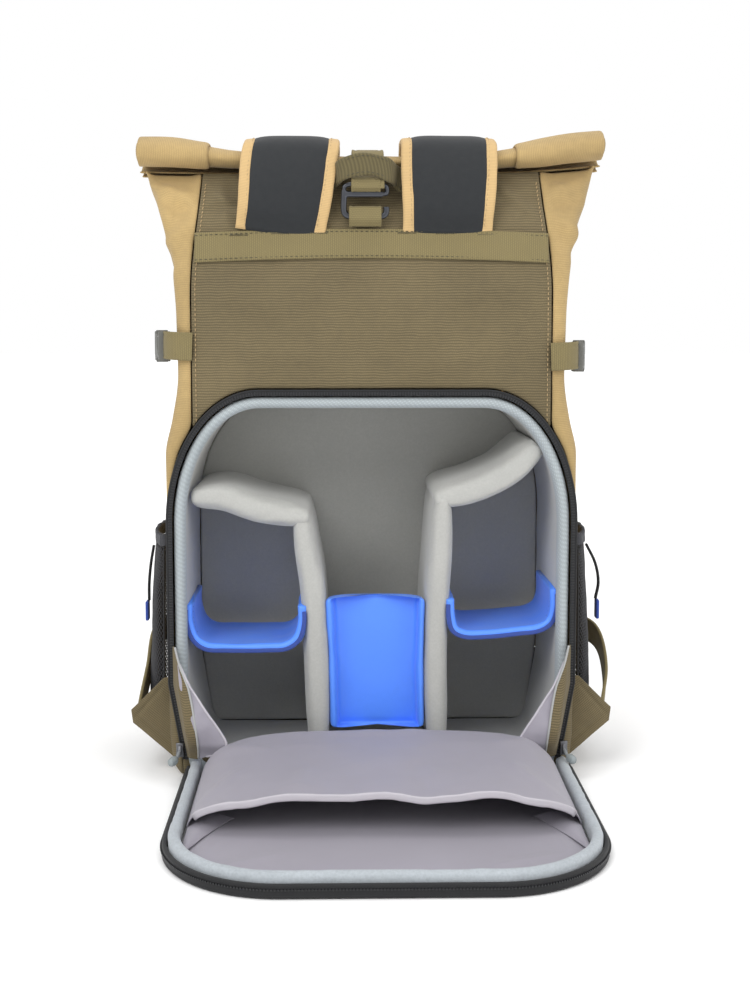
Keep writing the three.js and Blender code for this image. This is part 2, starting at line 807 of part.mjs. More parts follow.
function buildPouches() {
  const across = [0, 0.03, 0.1, 0.22, 0.4, 0.6, 0.78, 0.9, 0.97, 1];
  const upwards = [0, 0.05, 0.14, 0.32, 0.5, 0.68, 0.85, 1];
  for (const { side, sign } of sides) {
    const face = (inset) =>
      upwards.map((v) => across.map((t) => pouchPoint(sign, t, v, inset)));
    add(`side_pocket_${side}`, 'black', slab(face(0), face(meshCloth)));
    const hem = across.map((t) => {
      const p = pouchPoint(sign, t, 1, meshCloth / 2);
      return vec(p.x, p.y, pouchTop + gap + hemTall / 2);
    });
    hem[0].x += sign * hemThick;
    hem[hem.length - 1].x += sign * hemThick;
    const section = webbingProfile(hemTall, hemThick);
    add(`pocket_hem_${side}`, 'black', strip(hem, 16, () => vec(0, 0, 1), () => section));
    buildPull(side, sign);
  }
}

const hemTall = 9;
const hemThick = 2.4;
const pullBow = { left: 1.5, right: 7 };
const tabTall = 14;

// An elastic pull that hangs from the hem and ends in a blue tab.
function buildPull(side, sign) {
  const y = pouchBack + 30;
  const share = (y - pouchBack) / (pouchFront - pouchBack);
  const hang = (v) => pouchPoint(sign, share, v, 0);
  const bow = pullBow[side];
  const start = pouchTop - 3;
  const line = [
    { z: start, out: 1.6 },
    { z: start - 14, out: 1.6 + bow * 0.8 },
    { z: start - 28, out: 1.6 + bow },
    { z: start - 40, out: 1.6 + bow * 0.6 },
  ].map((row) => {
    const v = (row.z - pouchLow) / (pouchTop - pouchLow);
    return vec(hang(v).x + sign * row.out, y, row.z);
  });
  const cord = () => webbingProfile(5, 1.6);
  add(`pocket_pull_${side}`, 'black', strip(line, 10, () => vec(0, 1, 0), cord));
  const end = line[line.length - 1];
  const low = vec(Math.min(end.x - 1.1, end.x + 1.1), y - 5, end.z - gap - tabTall);
  const high = vec(Math.max(end.x - 1.1, end.x + 1.1), y + 5, end.z - gap);
  const away = sign * 1.2;
  add(`pull_tab_${side}`, 'blue', block(low, high).translate(away, 0, 0));
}

// The cloth wings at the bottom corners, that hold the shoulder straps' webbing.
const wingY = 12;
const wingTall = 70;
const wing = [
  { out: -0.11, up: 1 },
  { out: 0.15, up: 0.985 },
  { out: 1, up: 0.66 },
  { out: 0.96, up: 0.53 },
  { out: -0.11, up: 0.17 },
];

function buildWings() {
  const clear = bodySolid(canvas, wingTall * 1.7, -gap);
  for (const { side, sign } of sides) {
    const outline = wing.map(
      (p) => new THREE.Vector2(sign * (bagWidth / 2 + p.out * wingReach), p.up * wingTall),
    );
    if (sign < 0) outline.reverse();
    add(`wing_${side}`, 'olive', cut(upright(outline, wingY - wingCloth, wingY), clear));
  }
}

// A point at some distance from the front panel or the back panel, square to the cloth.
function offFront(x, z, away) {
  const slope = (frontAt(x, z + 2) - frontAt(x, z - 2)) / 4;
  const long = Math.hypot(1, slope);
  return { y: frontAt(x, z) + away / long, z: z - (slope * away) / long };
}

function offBack(z, away) {
  const slope = (bodyAt(z + 2).back - bodyAt(z - 2).back) / 4;
  const long = Math.hypot(1, slope);
  return { y: bodyAt(z).back - away / long, z: z + (slope * away) / long };
}

// Shoulder straps: from the band over the roll and down the front.
const bandHigh = bandLow + bandTall;

// The line that a strap of some thickness takes from the roll's back face, over it and down.
function overRoll(x, thick, frontFoot) {
  const away = thick / 2 + 1.2;
  const across = rollHalfAcross(x) + away;
  const tall = rollHalfTall(x) + away;
  const middle = rollMiddleZ(x);
  const round = [180, 140, 90, 40].map((deg) => {
    const a = THREE.MathUtils.degToRad(deg);
    return { y: rollMiddleY + across * Math.cos(a), z: middle + tall * Math.sin(a) };
  });
  const heights = [0.95, 0.915, 0.88, 0.84, 0.77, 0.67, 0.6, 0.5, 0.42];
  const down = heights.map((s) => s * neckHeight).filter((z) => z > frontFoot + 12);
  const front = [...down, frontFoot].map((z) => offFront(x, z, away + 1.2));
  return [...round, ...front];
}

const strapSteps = 32;

function strapLine(x) {
  const away = strapThick / 2 + 0.8;
  const foot = offBack(bandHigh + 7, away);
  const rising = [
    { y: foot.y - 1.2, z: bandHigh + 19 },
    { y: foot.y + 0.6, z: bandHigh + 33 },
  ];
  return [foot, ...rising, ...overRoll(x, strapThick, strapEnd)];
}

function buildShoulderStraps() {
  for (const { side, sign } of sides) {
    const line = strapLine(sign * (strapFoot + strapWidth / 2));
    const total = line.length - 1;
    const sway = (share) => strapFoot - 3 * share + 24 * smoothstep(share, 0.4, 0.85);
    const path = line.map((p, i) => vec(sign * sway(i / total) + strapShift, p.y, p.z));
    const taper = (share) => (1 + 0.1 * smoothstep(share, 0, 0.12)) * (1 - 0.3 * smoothstep(share, 0.7, 1));
    const pad = (share) => {
      const w = (strapWidth / 2) * taper(share);
      const t = strapThick / 2;
      return [
        new THREE.Vector2(-w, -t * 0.55),
        new THREE.Vector2(-w * 0.7, -t * 0.9),
        new THREE.Vector2(w * 0.7, -t * 0.9),
        new THREE.Vector2(w, -t * 0.55),
        new THREE.Vector2(w, t * 0.4),
        new THREE.Vector2(w * 0.55, t),
        new THREE.Vector2(-w * 0.55, t),
        new THREE.Vector2(-w, t * 0.4),
      ];
    };
    const across = () => vec(1, 0, 0);
    add(`shoulder_strap_${side}`, 'neoprene', strip(path, strapSteps, across, pad));
    for (const edge of [-1, 1]) {
      const bound = (share) => {
        const near = (strapWidth / 2) * taper(share) + gap;
        const far = near + strapBinding;
        const t = strapThick / 2;
        const low = Math.min(edge * near, edge * far);
        const high = Math.max(edge * near, edge * far);
        const [lt, ht] = edge > 0 ? [t * 0.55, t * 0.3] : [t * 0.3, t * 0.55];
        return [
          new THREE.Vector2(low, -lt),
          new THREE.Vector2(high, -ht),
          new THREE.Vector2(high, ht),
          new THREE.Vector2(low, lt),
        ];
      };
      const place = edge * sign > 0 ? 'outer' : 'inner';
      add(`strap_binding_${side}_${place}`, 'tan', strip(path, strapSteps, across, bound));
    }
    buildStrapWebbing(side, sign, path.at(-1));
  }
}

const lockTall = 26;
const tailOut = { left: 20, right: 30 }; // how far the webbing stands out of the side
const wingTip = { y: wingY + 7, z: wingTall * 0.61 };

// The strap's webbing: from its padded end through a plain adjuster, round the side to the wing.
function buildStrapWebbing(side, sign, end) {
  const high = end.z - 0.7;
  const low = high - lockTall;
  const lockLow = vec(end.x - webbing / 2 - 3, end.y - 2.5, low);
  const lockHigh = vec(end.x + webbing / 2 + 3, end.y + 2.5, high);
  add(`adjuster_${side}`, 'plastic', block(lockLow, lockHigh));
  const half = bagWidth / 2;
  const stand = tailOut[side];
  const line = [
    vec(end.x, end.y, low - gap),
    vec(end.x, end.y, low - 10),
    vec(end.x + sign * 10, bagDepth + 11, low - 26),
    vec(sign * (half - 24), bagDepth + 6, low - 38),
    vec(sign * (half + stand * 0.35), bagDepth - 14, low - 40),
    vec(sign * (half + stand * 0.95), bagDepth - 60, low - 42),
    vec(sign * (half + stand), bagDepth - 96, lerp(low - 42, wingTip.z, 0.5)),
    vec(sign * (half + wingReach - 5), wingTip.y, wingTip.z),
  ];
  const outwards = (p) => {
    const x = p.x / half;
    const y = (p.y - bagDepth / 2) / (bagDepth / 2);
    return vec(Math.sign(x) * Math.abs(x) ** 5, Math.sign(y) * Math.abs(y) ** 5, 0).normalize();
  };
  const across = (p, along) => new THREE.Vector3().crossVectors(outwards(p), along);
  const section = webbingProfile(sideWebbing, webbingThick);
  add(`strap_webbing_${side}`, 'webbing', strip(line, 26, across, () => section));
}

// The wide band sewn across the back panel, and what is held by it.
function buildBand() {
  const shares = [-1, -0.75, -0.5, -0.25, 0, 0.25, 0.5, 0.75, 1];
  const rise = [0, 0.33, 0.67, 1];
  const face = (inset) =>
    rise.map((r) =>
      shares.map((s) => {
        const x = s * (backSeamAt(bandLow) - 2);
        const z = bandLow + r * bandTall + 3 * (1 - s * s);
        return vec(x, bodyAt(z).back - gap - inset, z);
      }),
    );
  add('back_band', 'webbing', slab(face(0), face(webbingThick)));
}

// The closing strap runs from the front over the roll to a hook, which is caught in a loop of
// webbing that rises from the band.
const hookX = -4.5;
const hookWidth = 33;
const hookWire = 4.6;
const hookThick = 3.4;
const hookLow = bandHigh + 9;
const hookTall = 24;
const hookOff = 7.5; // the hook's front face, before the panel behind its lower bar
const hookY = bodyAt(hookLow).back - hookOff;

function buildHook() {
  const left = -hookWidth / 2;
  const right = hookWidth / 2;
  const w = hookWire;
  const slot = hookTall - 2 * w - 0.6; // height of the hook's lower room
  const body = new THREE.Shape([
    new THREE.Vector2(left + 2, 0),
    new THREE.Vector2(right - 2, 0),
    new THREE.Vector2(right, 2.5),
    new THREE.Vector2(right, w + 4.5),
    new THREE.Vector2(right - 2, w + 6),
    new THREE.Vector2(right - w, w + 4.5),
    new THREE.Vector2(right - w, w),
    new THREE.Vector2(left + w, w),
    new THREE.Vector2(left + w, slot),
    new THREE.Vector2(right - 4, slot),
    new THREE.Vector2(right, slot + 3),
    new THREE.Vector2(right, hookTall - 1),
    new THREE.Vector2(right - 1.5, hookTall),
    new THREE.Vector2(left + 1.5, hookTall),
    new THREE.Vector2(left, hookTall - 2),
    new THREE.Vector2(left, 2.5),
  ]);
  const top = slot + w;
  body.holes.push(
    new THREE.Path([
      new THREE.Vector2(left + w, top),
      new THREE.Vector2(left + w, hookTall - 2.6),
      new THREE.Vector2(right - w * 0.8, hookTall - 2.6),
      new THREE.Vector2(right - w * 0.8, top),
    ]),
  );
  const bevel = 0.6;
  const options = {
    depth: hookThick - 2 * bevel,
    bevelThickness: bevel,
    bevelSize: bevel,
    bevelOffset: -bevel,
    bevelSegments: 1,
    curveSegments: 4,
  };
  const made = new THREE.ExtrudeGeometry(body, options).rotateX(Math.PI / 2);
  made.translate(hookX, hookY + hookThick - bevel, hookLow);
  add('closing_hook', 'metal', made);
}

function buildClosure() {
  buildHook();
  const barY = hookY + hookThick / 2;
  const lowBar = hookLow + hookWire / 2;
  const section = webbingProfile(webbing - 2, webbingThick);
  const across = () => vec(1, 0, 0);
  const r = hookThick / 2 + 1 + webbingThick / 2;
  const bandTop = bandHigh + 3;
  const anchor = [
    { y: bodyAt(bandTop).back - 4, z: bandTop + 1.4 },
    { y: barY - r - 0.3, z: lowBar - 2.4 },
    { y: barY - r, z: lowBar + 0.6 },
    { y: barY - r * 0.7, z: lowBar + hookWire / 2 + r * 0.6 },
    { y: barY, z: lowBar + hookWire / 2 + r * 0.9 },
    { y: barY + r * 0.8, z: lowBar + hookWire / 2 + r * 0.3 },
    { y: barY + r, z: lowBar - 1.5 },
  ].map((p) => vec(hookX, p.y, p.z));
  add('anchor_webbing', 'webbing', strip(anchor, 18, across, () => section));
  const topBar = hookLow + hookTall - 1.3;
  const over = overRoll(hookX, webbingThick, neckHeight * 0.7);
  const strap = [
    { y: barY - r, z: topBar - 2.6 },
    { y: barY - r, z: topBar + 1.6 },
    { y: barY, z: topBar + 4.4 },
    { y: barY + 5, z: topBar + 8.5 },
    ...over,
  ].map((p) => vec(hookX + 2, p.y, p.z));
  add('closing_strap', 'webbing', strip(strap, 36, across, () => section));
}

// The haul handle stands out between the straps, in front of the closing strap.
const handleHalf = 42; // half its length, along the panel
const handleBow = 22.4; // how far its middle stands out of the panel
const handleRise = 18; // how far its middle stands above its ends
const handleDrop = 14; // from the mouth down to its ends
const handleLine = [
  { along: 1, out: 0.13, up: 0.11 },
  { along: 0.81, out: 0.17, up: 0.22 },
  { along: 0.62, out: 0.2, up: 0.44 },
  { along: 0.51, out: 0.31, up: 0.61 },
  { along: 0.37, out: 0.785, up: 0.805 },
  { along: 0.19, out: 0.93, up: 0.945 },
];

function buildHandle() {
  const low = neckHeight - handleDrop;
  const wall = bodyAt(low).back - handleThick / 2;
  const at = (sign) => (p) =>
    vec(hookX + sign * p.along * handleHalf, wall - p.out * handleBow, low + p.up * handleRise);
  const middle = vec(hookX, wall - handleBow, low + handleRise);
  const line = [...handleLine.map(at(-1)), middle, ...handleLine.map(at(1)).reverse()];
  const section = webbingProfile(handleTall, handleThick);
  add('haul_handle', 'webbing', strip(line, 24, () => vec(0, 0, 1), () => section));
}

// Compression straps at the sides, each with a fastened side-release buckle.
const strapLevel = { left: 300, right: 293 };
const buckleLong = 34;
const buckleTall = 22;
const buckleThick = 8;

function buildCompression() {
  for (const { side, sign } of sides) {
    const z = strapLevel[side];
    const { half, front } = bodyAt(z);
    const t = webbingThick / 2 + gap;
    const upright3 = () => vec(0, 0, 1);
    const section = webbingProfile(sideWebbing, webbingThick);
    const at = (x, y) => vec(sign * x, y, z);
    const socketStart = at(half + 9, 12);
    const plugEnd = at(half + 16, 12 + buckleLong);
    const near = [at(seamBack - 1, -t - 0.4), at(half - 2, -t - 0.6), at(half + 6, 5), socketStart];
    add(`compression_strap_back_${side}`, 'webbing', strip(near, 12, upright3, () => section));
    const far = [
      plugEnd,
      at(half + 17, 12 + buckleLong + 12),
      at(half + 9, front * 0.62),
      at(half + 3.5, front * 0.8),
      at(half - 1, front - 5),
      at(half - 13, front + 4),
      at(frontSeamAt(z) + 2, front + t + 3),
    ];
    add(`compression_strap_front_${side}`, 'webbing', strip(far, 18, upright3, () => section));
    buildBuckle(side, sign, socketStart, plugEnd);
  }
}

function buildBuckle(side, sign, from, to) {
  const along = to.clone().sub(from);
  const turn = Math.atan2(along.y, along.x);
  const long = along.length() - 2 * gap;
  const half = buckleTall / 2;
  const waist = half - 4;
  const join = long * 0.56;
  const shapeOf = (pairs) => {
    const upper = pairs.map((p) => new THREE.Vector2(p.x, p.y));
    const lower = pairs.map((p) => new THREE.Vector2(p.x, -p.y)).reverse();
    return new THREE.Shape([...lower, ...upper]);
  };
  const socket = shapeOf([
    { x: join, y: half },
    { x: join - 5, y: half },
    { x: join - 9, y: waist },
    { x: 5, y: waist },
    { x: 2, y: half - 1 },
    { x: 0, y: half - 1 },
  ]);
  const plug = shapeOf([
    { x: long, y: half - 1 },
    { x: long - 6, y: half - 1 },
    { x: long - 9, y: waist },
    { x: join + gap, y: waist },
  ]);
  for (const [part, shape] of Object.entries({ socket, plug })) {
    const made = new THREE.ExtrudeGeometry(shape, {
      depth: buckleThick - 2,
      bevelThickness: 1,
      bevelSize: 0.8,
      bevelOffset: -0.8,
      bevelSegments: 1,
    });
    made.translate(gap, 0, -buckleThick / 2 + 1).rotateX(Math.PI / 2).rotateZ(turn);
    made.translate(from.x, from.y, from.z);
    add(`buckle_${part}_${side}`, 'plastic', made);
  }
}

// Zip sliders, run down to the hinge.
function buildSliders() {
  for (const { side, sign } of sides) {
    const near = openingFoot / 2 - zipWidth + 3;
    const xs = [sign * near, sign * (near + 6)];
    const low = vec(Math.min(...xs), -zipProud - gap - 3, hingeHeight + 2);
    const high = vec(Math.max(...xs), -zipProud - gap, hingeHeight + 12);
    add(`zip_slider_${side}`, 'metal', block(low, high));
  }
}

buildShell();
buildRoll();
buildCompartment();
buildDividers();
buildPads();
buildFlap();
buildGussets();
buildPouches();
buildWings();
buildBand();
buildShoulderStraps();
buildClosure();
buildHandle();
buildCompression();
buildSliders();

// The origin is on the floor under the middle of the bag's base.
bag.position.y = -bagDepth / 2;

const product = new THREE.Group();
product.add(bag);

export default product;
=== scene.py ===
"""Camera backpack with its back access flap open: cloth, foam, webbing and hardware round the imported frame.

Lengths are millimetres in the bag's own frame: y is 0 at the back plane and grows towards the front of
the bag, z is 0 on the floor. to_row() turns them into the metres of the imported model.
"""

import math

import bmesh
import bpy
import numpy as np
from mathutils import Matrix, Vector


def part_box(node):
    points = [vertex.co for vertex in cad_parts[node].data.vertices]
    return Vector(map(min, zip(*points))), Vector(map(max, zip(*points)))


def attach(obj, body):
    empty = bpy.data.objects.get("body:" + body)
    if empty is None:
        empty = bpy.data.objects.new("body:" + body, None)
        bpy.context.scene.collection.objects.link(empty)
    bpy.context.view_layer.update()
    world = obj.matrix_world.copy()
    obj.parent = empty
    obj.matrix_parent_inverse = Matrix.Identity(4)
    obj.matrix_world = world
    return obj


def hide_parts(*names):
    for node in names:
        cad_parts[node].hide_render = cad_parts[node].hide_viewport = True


bl_info = {
    "name": "Camera Backpack",
    "version": (1, 0, 0),
    "blender": (4, 5, 0),
    "location": "3D View > Sidebar > Backpack",
    "description": "Dresses the packed camera backpack in cloth, foam, webbing and hardware",
    "category": "Object",
}

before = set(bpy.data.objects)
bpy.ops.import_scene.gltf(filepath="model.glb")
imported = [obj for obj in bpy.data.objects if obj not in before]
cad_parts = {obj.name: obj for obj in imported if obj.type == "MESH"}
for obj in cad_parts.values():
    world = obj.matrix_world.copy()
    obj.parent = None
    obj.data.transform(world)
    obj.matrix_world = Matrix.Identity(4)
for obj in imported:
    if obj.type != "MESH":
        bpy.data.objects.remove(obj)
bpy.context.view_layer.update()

MM = 0.001
BAG_DEPTH = 150
SIDES = {"left": -1, "right": 1}


def bag_box(node):
    """A node's lowest and highest corners, in the bag's own millimetres."""
    shift = np.array((0, BAG_DEPTH / 2, 0))
    low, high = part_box(node)
    return np.array(low) / MM + shift, np.array(high) / MM + shift


# Driving sizes, from the frame's own pieces
ZIP_LOW, ZIP_HIGH = bag_box("opening_zip")
FLAP_LOW, FLAP_HIGH = bag_box("flap_zip")
ROLL_LOW, ROLL_HIGH = bag_box("roll_top")
BOOT_HEIGHT = bag_box("base_boot")[1][2]
BAY_DEPTH = bag_box("compartment_liner")[1][1]
BAND_LOW = bag_box("back_band")[0][2]
BAG_WIDTH = 284
NECK = 418
PANEL_TOP = NECK + 0.9
CORNER_BACK = 9
CORNER_FRONT = 28
SEAM_BACK = 123
SEAM_TAPER = 6
SEAM_FRONT = 104
FRONT_BULGE = 7
MOUTH_LIFT = {-1: 1, 1: 6}
FOAM = 8
ZIP_WIDTH = 4.5
CLEAR = 0.35
LINER_INSET = ZIP_WIDTH + CLEAR
INNER_INSET = LINER_INSET + FOAM
BAY_SPAN = ZIP_HIGH[0] - INNER_INSET
LINER_BASE = 2.55
LINER_FLOOR = LINER_BASE + FOAM
BAND_TALL = 21
FLAP_SHIFT = (FLAP_LOW[0] + FLAP_HIGH[0]) / 2

# The body's sections from the floor to the mouth: share of NECK, of half the width, and of the depth
SECTIONS = np.array(
    [
        (0, 0.955, 0.03, 0.955),
        (0.025, 0.988, 0.004, 0.99),
        (0.075, 1, 0, 1),
        (0.3, 1, 0, 1.015),
        (0.54, 1, 0, 1.01),
        (0.6, 0.963, 0, 0.99),
        (0.67, 0.935, 0, 0.945),
        (0.77, 0.942, 0.004, 0.865),
        (0.84, 0.961, 0.014, 0.785),
        (0.915, 1.008, 0.07, 0.655),
        (0.965, 1.064, 0.15, 0.495),
        (1, 1.12, 0.235, 0.315),
    ]
)


# Small sums

def mix(a, b, share):
    return a + (b - a) * share


def smooth(value, low, high):
    """0 below low, 1 above high and an even curve between."""
    share = np.clip((value - low) / (high - low), 0, 1)
    return share * share * (3 - 2 * share)


def eased(x, xs, ys):
    """A smooth curve through a table that never overshoots it."""
    steps = np.diff(ys) / np.diff(xs)
    slopes = np.zeros(len(xs))
    both = steps[1:] * steps[:-1] > 0
    slopes[1:-1][both] = 2 * steps[1:][both] * steps[:-1][both] / (steps[1:] + steps[:-1])[both]
    slopes[0], slopes[-1] = steps[0], steps[-1]
    k = np.clip(np.searchsorted(xs, x) - 1, 0, len(xs) - 2)
    wide = xs[k + 1] - xs[k]
    t = np.clip((x - xs[k]) / wide, 0, 1)
    low, high = ys[k], ys[k + 1]
    bend = t * (1 - t) * ((1 - t) * slopes[k] - t * slopes[k + 1]) * wide
    flat = t * t * (3 - 2 * t)
    return mix(low, high, flat) + bend


def body_at(z):
    """Half the width, the back and the front of the body at a height."""
    up = np.clip(np.asarray(z, float) / NECK, 0, 1)
    half, back, front = (eased(up, SECTIONS[:, 0], SECTIONS[:, k]) for k in (1, 2, 3))
    return half * BAG_WIDTH / 2, back * BAG_DEPTH, front * BAG_DEPTH


def back_seam(z):
    return SEAM_BACK - SEAM_TAPER * smooth(np.asarray(z) / NECK, 0.8, 1)


def front_seam(z):
    return SEAM_FRONT + back_seam(z) - SEAM_BACK


def lift_at(x, z):
    """How far the mouth's ends stand above its middle."""
    x = np.asarray(x, float)
    most = np.where(x < 0, MOUTH_LIFT[-1], MOUTH_LIFT[1])
    reach = np.abs(x) / ROLL_HIGH[0]
    return most * reach**3 * smooth(np.asarray(z) / NECK, 0.94, 1)


def front_at(x, z):
    full = 1 - np.clip(np.abs(x) / front_seam(z), 0, 1) ** 2
    closing = 1 - smooth(np.asarray(z) / NECK, 0.8, 1)
    return body_at(z)[2] + FRONT_BULGE * full * closing * smooth(z, 0, BOOT_HEIGHT)


def ripple(points, size, seed=0.0):
    """Gentle unevenness from -1 to 1 at each point, of about that size in millimetres."""
    spot = np.asarray(points, float) / size + seed
    cell = np.floor(spot).astype(np.int64)
    share = spot - cell
    share = share * share * (3 - 2 * share)
    total = np.zeros(spot.shape[:-1])
    for corner in ((a, b, c) for a in (0, 1) for b in (0, 1) for c in (0, 1)):
        key = (cell + corner) * (73856093, 19349663, 83492791)
        mixed = key[..., 0] ^ key[..., 1] ^ key[..., 2]
        mixed = (mixed ^ (mixed >> 13)) * 1274126177
        value = (mixed >> 8 & 0xFFFF) / 32767.5 - 1
        total += value * np.where(corner, share, 1 - share).prod(-1)
    return total


def crease(across, up, folds):
    """Height of some folds. Each fold runs from one place to another, with a width and a height."""
    total = np.zeros(np.broadcast(across, up).shape)
    for (x0, z0), (x1, z1), width, height in folds:
        long = math.hypot(x1 - x0, z1 - z0)
        dx, dz = (x1 - x0) / long, (z1 - z0) / long
        along = (across - x0) * dx + (up - z0) * dz
        off = (across - x0) * dz - (up - z0) * dx
        ends = smooth(along, -width, long * 0.25) * (1 - smooth(along, long * 0.75, long + width))
        total = total + height * np.exp(-((off / width) ** 2)) * ends
    return total


def travelled(points):
    """How far along a line of points each one lies."""
    return np.concatenate([[0], np.cumsum(np.linalg.norm(np.diff(points, axis=0), axis=1))])


def heading(points):
    """The unit direction of a line at each of its points."""
    along = np.gradient(points, axis=0)
    return along / np.linalg.norm(along, axis=1)[:, None]


def spaced(points, count):
    """Points at equal distances along a line of points."""
    points = np.asarray(points, float)
    far = travelled(points)
    at = np.linspace(0, far[-1], count)
    return np.stack([np.interp(at, far, points[:, k]) for k in range(points.shape[1])], 1)


def curved(points, count):
    """A smooth line through a few points, as equally spaced points."""
    p = np.asarray(points, float)
    p = np.concatenate([[2 * p[0] - p[1]], p, [2 * p[-1] - p[-2]]])
    knots = np.concatenate([[0], np.cumsum(np.linalg.norm(np.diff(p, axis=0), axis=1) ** 0.5)])
    line = []
    for k in range(1, len(p) - 2):
        k0, k1, k2, k3 = knots[k - 1 : k + 3]
        for t in np.linspace(k1, k2, 24, endpoint=False):
            before = mix(p[k - 1], p[k], (t - k0) / (k1 - k0))
            here = mix(p[k], p[k + 1], (t - k1) / (k2 - k1))
            after = mix(p[k + 1], p[k + 2], (t - k2) / (k3 - k2))
            near = mix(before, here, (t - k0) / (k2 - k0))
            far = mix(here, after, (t - k1) / (k3 - k1))
            line.append(mix(near, far, (t - k1) / (k2 - k1)))
    line.append(p[-2])
    return spaced(line, count)


# Shader node groups and finishes

def place(tree, kind, inputs=None, **settings):
    """Adds a node. An input's value is a plain value, or the socket that feeds it."""
    node = tree.nodes.new(kind)
    for key, value in settings.items():
        setattr(node, key, value)
    for key, value in (inputs or {}).items():
        if isinstance(value, bpy.types.NodeSocket):
            tree.links.new(value, node.inputs[key])
        else:
            node.inputs[key].default_value = value
    return node


def sum_of(tree, operation, first, second=0.0, third=0.0):
    made = place(tree, "ShaderNodeMath", {0: first, 1: second, 2: third}, operation=operation)
    return made.outputs[0]


def node_group(name, inputs, outputs):
    """An empty shader group: the tree, its given values and its results. Its first input is a place."""
    tree = bpy.data.node_groups.new(name, "ShaderNodeTree")
    tree.interface.new_socket("Place", in_out="INPUT", socket_type="NodeSocketVector")
    for label, default in inputs.items():
        socket = tree.interface.new_socket(label, in_out="INPUT", socket_type="NodeSocketFloat")
        socket.default_value = default
    for label in outputs:
        tree.interface.new_socket(label, in_out="OUTPUT", socket_type="NodeSocketFloat")
    given = tree.nodes.new("NodeGroupInput")
    result = tree.nodes.new("NodeGroupOutput")
    return tree, given.outputs, result.inputs


def wave(tree, along, phase=0.0):
    """From 0 to 1 and back once for each unit."""
    turned = sum_of(tree, "ADD", along, phase)
    swing = sum_of(tree, "SINE", sum_of(tree, "MULTIPLY", turned, 2 * math.pi))
    return sum_of(tree, "MULTIPLY_ADD", swing, 0.5, 0.5)


def weave_group():
    """Ribs along U, crossed by threads that step over by half at each rib. Lengths are metres."""
    sizes = {"Rib": 0.002, "Thread": 0.001, "Uneven": 0.3}
    tree, given, result = node_group("Weave", sizes, ["Height", "Gap"])
    parts = place(tree, "ShaderNodeSeparateXYZ", {0: given["Place"]}).outputs
    cloud = place(tree, "ShaderNodeTexNoise", {"Vector": given["Place"], "Scale": 90.0, "Detail": 2.0})
    sway = sum_of(tree, "MULTIPLY", sum_of(tree, "SUBTRACT", cloud.outputs[0], 0.5), given["Uneven"])
    up = sum_of(tree, "ADD", sum_of(tree, "DIVIDE", parts["Y"], given["Rib"]), sway)
    across = sum_of(tree, "DIVIDE", parts["X"], given["Thread"])
    step = sum_of(tree, "MULTIPLY", sum_of(tree, "FLOOR", up), 0.5)
    rib = wave(tree, up)
    thread = wave(tree, sum_of(tree, "ADD", across, step))
    woven = sum_of(tree, "MULTIPLY", rib, sum_of(tree, "MULTIPLY_ADD", thread, 0.5, 0.5))
    tree.links.new(woven, result["Height"])
    tree.links.new(sum_of(tree, "SUBTRACT", 1.0, woven), result["Gap"])
    return tree


def fading_group():
    """A shade round 1 for worn and dusty places, from two sizes of cloud."""
    sizes = {"Broad": 14.0, "Fine": 220.0, "Depth": 0.12}
    tree, given, result = node_group("Fading", sizes, ["Shade", "Cloud"])
    clouds = [
        place(tree, "ShaderNodeTexNoise", {"Vector": given["Place"], "Scale": given[size], "Detail": 3.0})
        for size in ("Broad", "Fine")
    ]
    both = sum_of(tree, "MULTIPLY_ADD", clouds[1].outputs[0], 0.45, clouds[0].outputs[0])
    level = sum_of(tree, "SUBTRACT", both, 0.725)
    shade = sum_of(tree, "MULTIPLY_ADD", level, given["Depth"], 1.0)
    tree.links.new(shade, result["Shade"])
    tree.links.new(clouds[1].outputs[0], result["Cloud"])
    return tree


def dots_group():
    """Small raised dots in staggered rows, as a brushed knit has."""
    tree, given, result = node_group("Knit dots", {"Pitch": 0.0022}, ["Height", "Gap"])
    parts = place(tree, "ShaderNodeSeparateXYZ", {0: given["Place"]}).outputs
    slant = [
        sum_of(tree, "DIVIDE", sum_of(tree, kind, parts["X"], parts["Y"]), given["Pitch"])
        for kind in ("ADD", "SUBTRACT")
    ]
    dots = sum_of(tree, "MULTIPLY", wave(tree, slant[0]), wave(tree, slant[1]))
    tree.links.new(dots, result["Height"])
    tree.links.new(sum_of(tree, "SUBTRACT", 1.0, dots), result["Gap"])
    return tree


def nap_group():
    """The short irregular pile or grain of velvet, foam cloth and moulded skins."""
    tree, given, result = node_group("Nap", {"Size": 900.0}, ["Height", "Gap"])
    fine = place(
        tree, "ShaderNodeTexNoise", {"Vector": given["Place"], "Scale": given["Size"], "Detail": 4.0}
    )
    cells = place(tree, "ShaderNodeTexVoronoi", {"Vector": given["Place"], "Scale": given["Size"]})
    grain = sum_of(tree, "MULTIPLY_ADD", cells.outputs["Distance"], 0.5, fine.outputs[0])
    tree.links.new(grain, result["Height"])
    tree.links.new(sum_of(tree, "SUBTRACT", 1.0, grain), result["Gap"])
    return tree


GROUPS = {"Weave": weave_group, "Fading": fading_group, "Knit dots": dots_group, "Nap": nap_group}


def use_group(tree, name, inputs):
    made = bpy.data.node_groups.get(name) or GROUPS[name]()
    return place(tree, "ShaderNodeGroup", inputs, node_tree=made).outputs


def linear(colour):
    """An sRGB colour as the linear one that a shader takes."""
    return [c / 12.92 if c <= 0.04045 else ((c + 0.055) / 1.055) ** 2.4 for c in colour[:3]]


